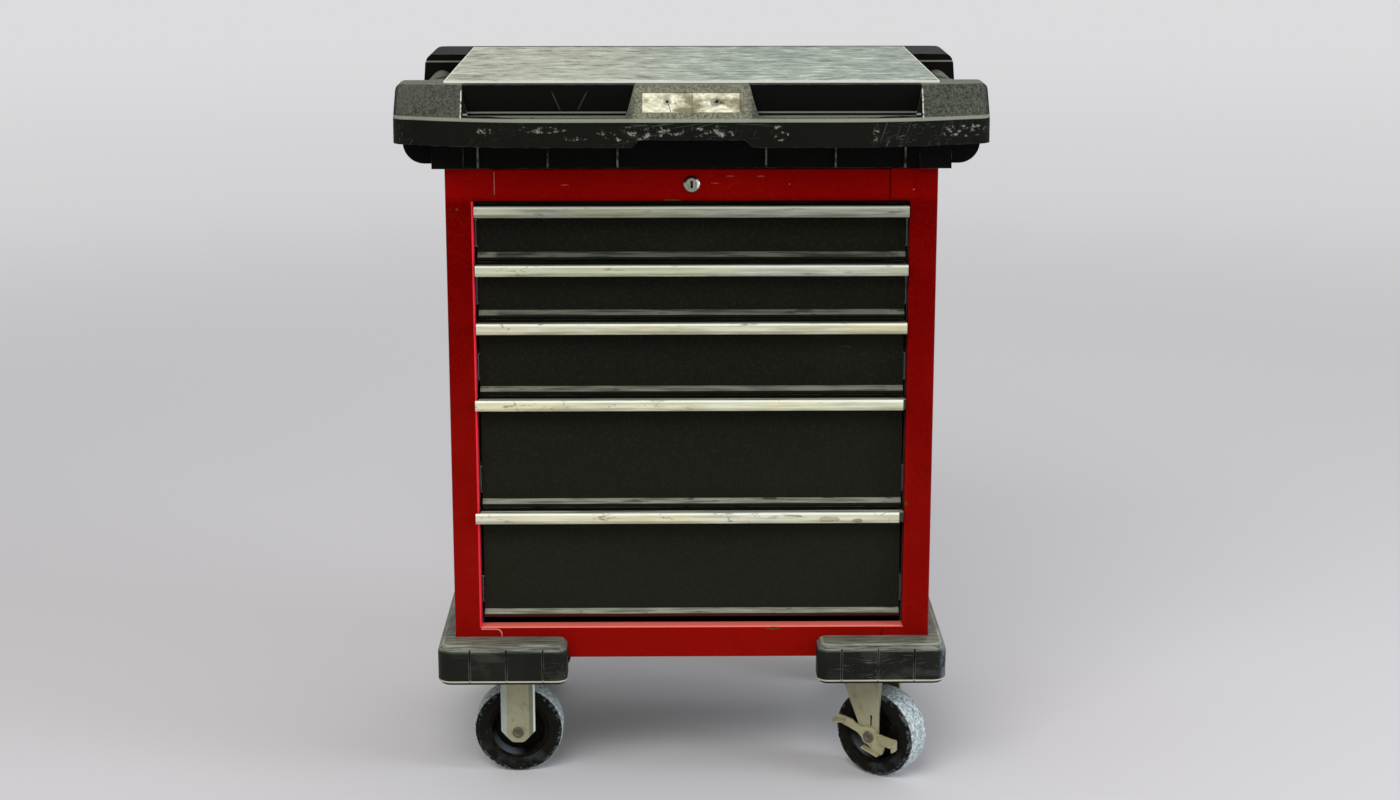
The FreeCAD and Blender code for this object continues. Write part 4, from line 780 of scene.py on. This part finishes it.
def plated(name, dark, light, metallic, roughness, grime, edge_colour=(226, 224, 204), middle=None):
    f = Finish(name, Metallic=metallic, Specular_IOR_Level=0.3)
    cloud = patches(f, 60.0, 4.0, detail=5.0)
    fine = patches(f, 480.0, 6.0, detail=3.0)
    colour = tint(0.6 * cloud + 0.4 * fine, dark, light)
    if middle is not None:
        away = f.x - middle
        left = rise(away, -LEG_FLAT, -LEG_FLAT - 0.001)
        right = rise(away, LEG_FLAT, LEG_FLAT + 0.001)
        cut_edge_highlight = right * rise(away, LEG_HALF - 0.0030, LEG_HALF - 0.0022)
        # Painted light and shade on the legs: the left edge lighter, the right darker, with a painted highlight on
        # the cut edge.
        colour = lay(colour, left * 0.55, 178, 192, 190)
        colour = lay(colour, right * 0.60, 84, 90, 80)
        colour = lay(colour, cut_edge_highlight, 216, 224, 216)
    dirt = rise(patches(f, 85.0, 7.0, detail=6.0, rough=0.65), 0.54, 0.70)
    colour = lay(colour, dirt * grime, 58, 52, 38)
    # A light edge colour is a painted highlight along the edges; the lever's dark one is grime.
    edge = edge_mask(f, 0.0008)
    colour = tint(edge * 0.55, colour, paint(*edge_colour))
    f.feed(Base_Color=colour, Roughness=roughness + 0.2 * dirt + 0.08 * cloud)
    relief(f, fine - dirt * 0.5, 0.00015, 0.3, 0.0006)
    return f


ZINC = (paint(134, 132, 104), paint(176, 174, 144))
LEVER = (paint(138, 132, 98), paint(196, 190, 154))
AXLE = (paint(58, 52, 42), paint(122, 112, 94))
SLIDE = (paint(150, 151, 150), paint(196, 197, 194))
SHEET = (paint(128, 130, 130), paint(176, 178, 176))
zinc = plated("castor_zinc", *ZINC, 0.25, 0.42, 0.22)
lever_zinc = plated("lever_zinc", *LEVER, 0.25, 0.38, 0.35, edge_colour=(52, 46, 30))
axle_steel = plated("axle_steel", *AXLE, 0.5, 0.4, 0.55, edge_colour=(196, 190, 168))
slide_steel = plated("slide_steel", *SLIDE, 0.85, 0.3, 0.2)
galvanised = plated("galvanised", *SHEET, 0.7, 0.42, 0.25)
grades = [zinc, lever_zinc, axle_steel, slide_steel, galvanised]
print("plated steels:", [grade.material.name for grade in grades])

# %% [markdown]
# ## Lock
# The lock is chrome, and chrome is only what it mirrors. Here the room is pale all round, so a
# plain mirror would look white. The real one mirrors something dark above and daylight on the
# right. Those two are put in the metal's colour by the angle round the keyhole, which stays right
# from every side.

# %% Chrome with a dark arc and a bright one
LOCK_CENTRE = (0.0, -0.205, 0.8455)
BEZEL_R, ARC_R = (0.0070, 0.0076), (0.0076, 0.0084)


def lock_chrome():
    f = Finish("lock_chrome", Metallic=0.8)
    arm = f.vector("SUBTRACT", f.where, LOCK_CENTRE)
    side = f.node("ShaderNodeSeparateXYZ", values={0: arm})
    angle = side.math("ARCTAN2", side.out("Z"), side)
    reach = (side * side + side.out("Z") * side.out("Z")).root()
    ring = rise(reach, *BEZEL_R)
    fleck = patches(f, 420.0, 4.0, detail=4.0)
    face = tint(fleck, paint(92, 92, 78), paint(190, 188, 170))
    # Painted shade: the keyway slot is painted near black.
    slot = near(f.x, 0.0, 0.0014, 0.0005) * near(f.z, LOCK_CENTRE[2], 0.0046, 0.0006)
    face = lay(face, slot * 0.95, 6, 6, 5)
    dark_arc = near(angle, 1.75, 0.95, 0.35) * rise(reach, *ARC_R)
    bright_arc = near(angle, 0.12, 0.45, 0.35) * ring
    colour = tint(ring, face, tint(fleck, paint(120, 122, 110), paint(186, 186, 168)))
    colour = lay(colour, dark_arc * 0.95, 10, 12, 10)
    colour = lay(colour, bright_arc, 246, 248, 250)
    f.feed(Base_Color=colour, Roughness=0.16 + 0.2 * fleck)
    relief(f, fleck, 0.0001, 0.2, 0.0004)
    return f


chrome = lock_chrome()
print("lock chrome:", len(chrome.tree.nodes), "nodes")

# %% [markdown]
# ## Plain black enamel and handle plastic
# The floor pan, the castor channels and the deck under the tray are seldom seen. They have a plain
# black enamel that is mostly dust. The plastic profile behind each handle cover is clean and dark.
# Its upper edge carries a painted highlight, a grey line above the cover that is paler on the lower drawers, and
# its bare end at the right is cut with slanting ribs.

# %% Black enamel and handle plastic
def pan_enamel():
    f = Finish("black_enamel", Specular_IOR_Level=0.15)
    cloud = patches(f, 12.0, 2.0, detail=6.0)
    colour = tint(cloud, paint(12, 12, 10), paint(30, 30, 26))
    dust = rise(patches(f, 70.0, 4.0, detail=6.0), 0.45, 0.75)
    colour = lay(colour, dust * 0.3, 118, 114, 102)
    colour = lay(colour, edge_mask(f, 0.0014) * 0.35, 140, 138, 128)
    f.feed(Base_Color=colour, Roughness=0.45 + 0.2 * dust)
    relief(f, patches(f, 380.0, 1.0, detail=3.0), 0.0003, 0.3, 0.0008)
    return f


# Where the painted highlight runs on the flat behind the cover: depth, half width and fade.
GROOVE = (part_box("top_rail")[0][1] + 0.0035, 0.0022, 0.0008)
BARE_END, END_RIBS = (0.2825, 0.2832), 1900.0


def handle_plastic(number):
    f = Finish(f"handle_plastic_{number}", Specular_IOR_Level=0.08)
    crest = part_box(f"handle_base_{number}")[1][2]
    cloud = patches(f, 30.0, 2.0, (6, 1, 1), detail=5.0)
    colour = tint(cloud, paint(7, 8, 6), paint(20, 22, 18))
    streak = rise(patches(f, 200.0, 3.0 + number, (20, 1, 1), detail=3.0), 0.34, 0.62)
    # Painted highlight on the upper edge and on the flat above the cover, paler on the lower drawers.
    edges = rise(f.z, crest - 0.0014, crest - 0.0008) | near(f.y, *GROOVE)
    line = facing(f, "Z", 0.3, 0.6) * edges
    ridge_highlight = tint(rise(f.z, 0.80, 0.40), paint(96, 102, 96), paint(176, 178, 160))
    colour = tint(line * (0.45 + 0.55 * streak), colour, ridge_highlight)
    hatch = rise(((f.x + f.z) * END_RIBS).sine(), 0.2, 0.8)
    bare = rise(f.x, *BARE_END)
    colour = lay(colour, hatch * bare * 0.6, 112, 116, 106)
    f.feed(Base_Color=colour, Roughness=0.5 + 0.15 * cloud)
    relief(f, patches(f, 380.0, 1.0, detail=3.0) + hatch * bare * 2.0, 0.0003, 0.3, 0.0006)
    return f


pan_black = pan_enamel()
profiles = {number: handle_plastic(number) for number in COVER_SHADED_COLOURS}
print("black enamel:", len(pan_black.tree.nodes), "nodes")
print("handle profiles:", len(profiles), "finishes")

# %% [markdown]
# ## Wheels
# The wheels are the most battered part. The CAD tyre is a clean turned ring, so a chipped tyre is built in its
# place: the same outline turned round the axle in small steps, with bites taken out of the shoulders wherever a
# fixed noise runs high. The tread is pale and bluish, partly floor dust and partly a painted sheen of cool
# daylight, and scored crosswise. The side is nearly black, and the wheel's dished centre is darker still, with a
# painted highlight on the lower left of its wall. So the colour depends on how far a point is from the axle: the
# length of the cross product of the axle's direction and the point seen from the centre.

# %% Tyre and hub finishes, one pair a wheel
WHEEL_R, RIM_R, TYRE_HALF = 0.0625, 0.042, 0.023
DISH_INNER, DISH_OUTER = (0.0335, 0.0345), (0.0378, 0.0372)


def from_axle(finish, centre, axis):
    """Distance of a surface point from a wheel's axle, in metres."""
    arm = finish.vector("SUBTRACT", finish.where, centre)
    return finish.vector("LENGTH", finish.vector("CROSS_PRODUCT", arm, axis), output=1)


def tyre_rubber(name, centre, axis):
    f = Finish(name, Specular_IOR_Level=0.12)
    reach = from_axle(f, centre, axis)
    cloud = patches(f, 60.0, 3.0, detail=6.0)
    side = tint(cloud, paint(7, 6, 3), paint(22, 21, 15))
    low = rise(f.z, centre[2], centre[2] - 0.05)
    low = low * rise(patches(f, 42.0, 7.0, detail=6.0), 0.46, 0.62)
    side = lay(side, low * 0.65, 54, 59, 60)
    grit = rise(patches(f, 260.0, 9.0, detail=4.0), 0.58, 0.72)
    grit = grit * rise(patches(f, 38.0, 2.0), 0.45, 0.62)
    side = lay(side, grit * 0.35, 86, 88, 76)
    shoulder = near(reach, WHEEL_R - 0.0035, 0.0022, 0.0015)
    ragged = shoulder * rise(patches(f, 150.0, 6.0, detail=5.0), 0.48, 0.60)
    side = lay(side, ragged * 0.55, 100, 108, 108)
    # The tread: partly floor dust, partly a painted bluish sheen of daylight.
    mottle = patches(f, 210.0, 5.0, detail=5.0, rough=0.7)
    tread_dust_and_sheen = tint(rise(mottle, 0.36, 0.62), paint(134, 146, 150), paint(212, 222, 222))
    scored = scratches(f, SLANT, 5.0, 520.0, 7.0, 0.62)
    scored = scored | scratches(f, COUNTER_SLANT, 6.0, 520.0, 7.0, 0.63)
    tread_dust_and_sheen = lay(tread_dust_and_sheen, scored * 0.55, 70, 80, 86)
    colour = tint(rise(reach, WHEEL_R - 0.0022, WHEEL_R - 0.0008), side, tread_dust_and_sheen)
    f.feed(Base_Color=colour, Roughness=0.72 + 0.15 * cloud)
    relief(f, patches(f, 300.0, 2.0, detail=5.0) + grit - scored, 0.0005, 0.4)
    return f


def hub_plastic(name, centre, axis):
    f = Finish(name, Specular_IOR_Level=0.08)
    reach = from_axle(f, centre, axis)
    cloud = patches(f, 50.0, 3.0, detail=5.0)
    colour = tint(cloud, paint(5, 4, 2), paint(14, 13, 9))
    # Painted highlight on the dish wall where it faces up and to the right.
    lit_wall = rise(reach, *DISH_INNER) * rise(reach, *DISH_OUTER)
    lit_wall = lit_wall * facing(f, "Z", 0.0, 0.6) * facing(f, "X", -0.30, 0.35)
    colour = tint(lit_wall * 0.9, colour, tint(cloud, paint(58, 66, 74), paint(104, 112, 120)))
    dust = rise(patches(f, 80.0, 6.0, detail=5.0), 0.50, 0.70)
    colour = lay(colour, dust * 0.22, 70, 62, 44)
    f.feed(Base_Color=colour, Roughness=0.6 + 0.15 * cloud)
    relief(f, patches(f, 500.0, 2.0, detail=3.0), 0.0003, 0.35)
    return f


# %% A chipped tyre in mesh code
TYRE_OUTLINE = [
    (RIM_R, 0.0205), (RIM_R + 0.0008, 0.0222), (0.0450, 0.0230), (0.0475, 0.0227), (0.0490, 0.0223),
    (0.0505, 0.0227), (0.0535, 0.0229), (0.0560, 0.0227), (0.0578, 0.0222), (0.0592, 0.0214),
    (0.0604, 0.0203), (0.0613, 0.0190), (0.0620, 0.0174), (0.0624, 0.0156), (0.0625, 0.0130),
    (0.0625, 0.0065), (0.0625, 0.0),
]
TYRE_STEPS = 260
# How much of a bite each point of the outline takes, and the side of the wheel with most bites.
SHOULDER_SHARE = [0, 0, 0, 0, 0, 0.04, 0.10, 0.22, 0.45, 0.75, 1, 1, 0.85, 0.6, 0.35, 0.1, 0]
MOST_BATTERED = Vector((-0.6, 0.0, -0.8))
BITE_START, BITE_DEPTH = 0.52, 0.009


def bite(share, offset, angle, seed, battered):
    """How far a point of the shoulder is bitten in, in metres."""
    along = Vector((math.cos(angle) * 5.0 + seed, math.sin(angle) * 5.0, offset * 60.0))
    rough = 0.5 + 0.5 * noise.noise(along * 2.6) + 0.30 * noise.noise(along * 7.0)
    return share * (0.35 + 0.65 * battered) * max(0.0, rough - BITE_START) * BITE_DEPTH


def chipped_tyre(place, centre, axis, seed):
    """A tyre turned round its axle, with bites out of both shoulders."""
    ahead = axis.cross(Vector((0, 0, 1))).normalized()
    up = ahead.cross(axis).normalized()
    half = list(zip(TYRE_OUTLINE, SHOULDER_SHARE))
    ring = half + [((radius, -offset), share) for (radius, offset), share in reversed(half[:-1])]
    mesh = bmesh.new()
    rows = []
    for step in range(TYRE_STEPS):
        angle = 2 * math.pi * step / TYRE_STEPS
        outward = ahead * math.cos(angle) + up * math.sin(angle)
        battered = max(0.0, outward.dot(MOST_BATTERED))
        row = []
        for (radius, offset), share in ring:
            depth = bite(share, offset, angle, seed, battered)
            inward = depth * offset / TYRE_HALF
            spot = centre + outward * (radius - depth) + axis * (offset - inward)
            row.append(mesh.verts.new(spot))
        rows.append(row)
    for i, row in enumerate(rows):
        following = rows[(i + 1) % TYRE_STEPS]
        for j in range(len(ring) - 1):
            mesh.faces.new((row[j], following[j], following[j + 1], row[j + 1]))
        mesh.faces.new((row[-1], following[-1], following[0], row[0]))
    bmesh.ops.recalc_face_normals(mesh, faces=mesh.faces)
    data = bpy.data.meshes.new("worn_tyre_" + place)
    mesh.to_mesh(data)
    mesh.free()
    for face in data.polygons:
        face.use_smooth = True
    tyre = bpy.data.objects.new("worn_tyre_" + place, data)
    bpy.context.scene.collection.objects.link(tyre)
    return tyre


print("tyre outline:", len(TYRE_OUTLINE), "points a side, turned in", TYRE_STEPS, "steps")

# %% [markdown]
# ## Each node gets its finish
# The CAD nodes keep their shapes, and only their material slots change. A table pairs the material
# slot that the record names with a finish, so a new node with a known slot is dressed by itself.
# Wheels are read from their own boxes, and their axles from the joints.

# %% Dress the CAD nodes
FINISH_OF = {
    "red_enamel": red,
    "black_enamel": pan_black,
    "drawer_enamel": black_enamel,
    "galvanised": galvanised,
    "slide_steel": slide_steel,
    "tray_plastic": tray_black,
    "worktop_laminate": laminate,
    "grip_rubber": grip_black,
    "bumper_plastic": bumper_black,
    "lock_chrome": chrome,
    "castor_zinc": zinc,
    "bolt_steel": axle_steel,
}
slot_of = {part["node"]: part["material_slot"] for part in frame["record"]["subparts"]}
body_of = {n: body for body, names in frame["record"]["behaviour"]["bodies"].items() for n in names}
joint_of = {joint["child"]: joint for joint in frame["joints"]}


def wear(piece, finish):
    """Puts one finish on the whole of a piece."""
    piece.data.materials.clear()
    piece.data.materials.append(finish.material)


for name, slot in slot_of.items():
    if slot in FINISH_OF:
        wear(nodes[name], FINISH_OF[slot])
for number, finish in covers.items():
    wear(nodes[f"handle_cover_{number}"], finish)
    wear(nodes[f"handle_base_{number}"], profiles[number])
low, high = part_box("fixed_brackets")
bracket_zinc = plated("bracket_zinc", *ZINC, 0.25, 0.42, 0.22, middle=(low[0] + high[0]) / 2)
wear(nodes["fixed_brackets"], bracket_zinc)
wear(nodes["brake_lever"], lever_zinc)
print("dressed", len(slot_of), "nodes; slots:", sorted(set(slot_of.values())))

# %% Wheels: new tyres, and finishes centred on each axle
wheels = {}
for seed, name in enumerate(sorted(n for n in nodes if n.startswith("tyre_"))):
    place = name[len("tyre_"):]
    low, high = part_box(name)
    centre = (Vector(low) + Vector(high)) / 2
    axis = Vector(joint_of[body_of[name]]["axis"]).normalized()
    wheels[place] = (centre, axis)
    tyre = chipped_tyre(place, centre, axis, 3.7 * seed)
    wear(tyre, tyre_rubber("tyre_rubber_" + place, centre, axis))
    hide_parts(name)
    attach(tyre, body_of[name])
    wear(nodes["hub_" + place], hub_plastic("hub_plastic_" + place, centre, axis))
print("wheels:", {place: [round(v, 3) for v in centre] for place, (centre, _) in wheels.items()})

# %% [markdown]
# ## Floor and light
# A plain pale floor and a pale sky make the plain background of a studio. The photograph's paper is
# a soft grey that brightens towards the top of the picture. Near the cabinet the floor is an
# ordinary matt surface, so it keeps the cabinet's shadow. Further off it turns into plain pale
# light for the camera and for mirrors only, which lights nothing. Big soft lamps leave gentle
# shadows: a wide neutral lamp above the front, and a cool one far to the right, like daylight
# from a window.

# %% Floor
PAPER_NEAR, PAPER_FAR = (216, 214, 217), (220, 219, 221)
PAPER_GLOW = (206, 206, 208)
FLOOR_HALF, PLAIN_FROM, BRIGHT_FROM = 40.0, (0.9, 5.5), (2.0, 12.0)


def seen_directly(finish):
    """1 for rays from the camera, from mirrors and through glass."""
    path = finish.node("ShaderNodeLightPath", output="Is Camera Ray")
    return path | path.out("Is Glossy Ray") | path.out("Is Transmission Ray")


def studio_floor():
    f = Finish("studio_floor", Roughness=0.9, Specular_IOR_Level=0.1)
    f.shader.inputs["Base Color"].default_value = paint(*PAPER_NEAR)
    distance = f.vector("LENGTH", f.where, output=1)
    far = rise(distance, *PLAIN_FROM)
    light = tint(rise(distance, *BRIGHT_FROM), paint(*PAPER_GLOW), paint(*PAPER_FAR))
    glow = f.node("ShaderNodeEmission", values={"Color": light, "Strength": 1.0})
    shares = {0: far * seen_directly(f), 1: Wire(f, f.shader.outputs[0]), 2: glow}
    mixed = f.node("ShaderNodeMixShader", values=shares)
    f.tree.links.new(mixed.socket, f.tree.nodes["Material Output"].inputs["Surface"])
    half = FLOOR_HALF
    mesh = bpy.data.meshes.new("studio_floor")
    corners = [(-half, -half, 0), (half, -half, 0), (half, half, 0), (-half, half, 0)]
    mesh.from_pydata(corners, [], [(0, 1, 2, 3)])
    floor = bpy.data.objects.new("studio_floor", mesh)
    bpy.context.scene.collection.objects.link(floor)
    wear(floor, f)


studio_floor()
print("floor", 2 * FLOOR_HALF, "m square, plain beyond", PLAIN_FROM[1], "m")

# %% Lamps
CABINET_MIDDLE = Vector((0.0, 0.0, 0.5))
# Each lamp: place, size, power in watts and colour.
LAMPS = {
    "key_lamp": ((-1.0, -3.0, 3.2), (2.6, 1.6), 85.0, (1.0, 0.99, 0.95)),
    "window_lamp": ((3.4, -1.3, 1.6), (1.4, 2.0), 58.0, (0.84, 0.92, 1.0)),
    "back_lamp": ((0.6, 2.8, 2.8), (2.2, 1.4), 16.0, (1.0, 1.0, 1.0)),
}


def soft_lamp(name, place, size, power, colour):
    data = bpy.data.lights.new(name, "AREA")
    data.shape = "RECTANGLE"
    data.size, data.size_y = size
    data.energy = power
    data.color = colour
    lamp = bpy.data.objects.new(name, data)
    lamp.location = place
    lamp.rotation_euler = (CABINET_MIDDLE - Vector(place)).to_track_quat("-Z", "Y").to_euler()
    bpy.context.scene.collection.objects.link(lamp)


for name, lamp in LAMPS.items():
    soft_lamp(name, *lamp)
print("lamps:", {name: lamp[2] for name, lamp in LAMPS.items()}, "watts")

# %% Sky
SKY_LIGHT, SKY_SEEN = 0.5, 0.72


class Sky(Finish):
    """The world's own nodes, so that the sky is written like a finish."""

    def __init__(self, name):
        world = bpy.data.worlds.new(name)
        world.use_nodes = True
        bpy.context.scene.world = world
        self.tree = world.node_tree
        self.shader = self.tree.nodes["Background"]
        self.shader.inputs["Color"].default_value = (1.0, 1.0, 1.0, 1.0)


sky = Sky("studio_sky")
levels = {"Value": seen_directly(sky), "To Min": SKY_LIGHT, "To Max": SKY_SEEN}
sky.feed(Strength=sky.node("ShaderNodeMapRange", values=levels))
print("sky lights at", SKY_LIGHT, "and shows at", SKY_SEEN)

# %% Update the scene
bpy.context.view_layer.update()
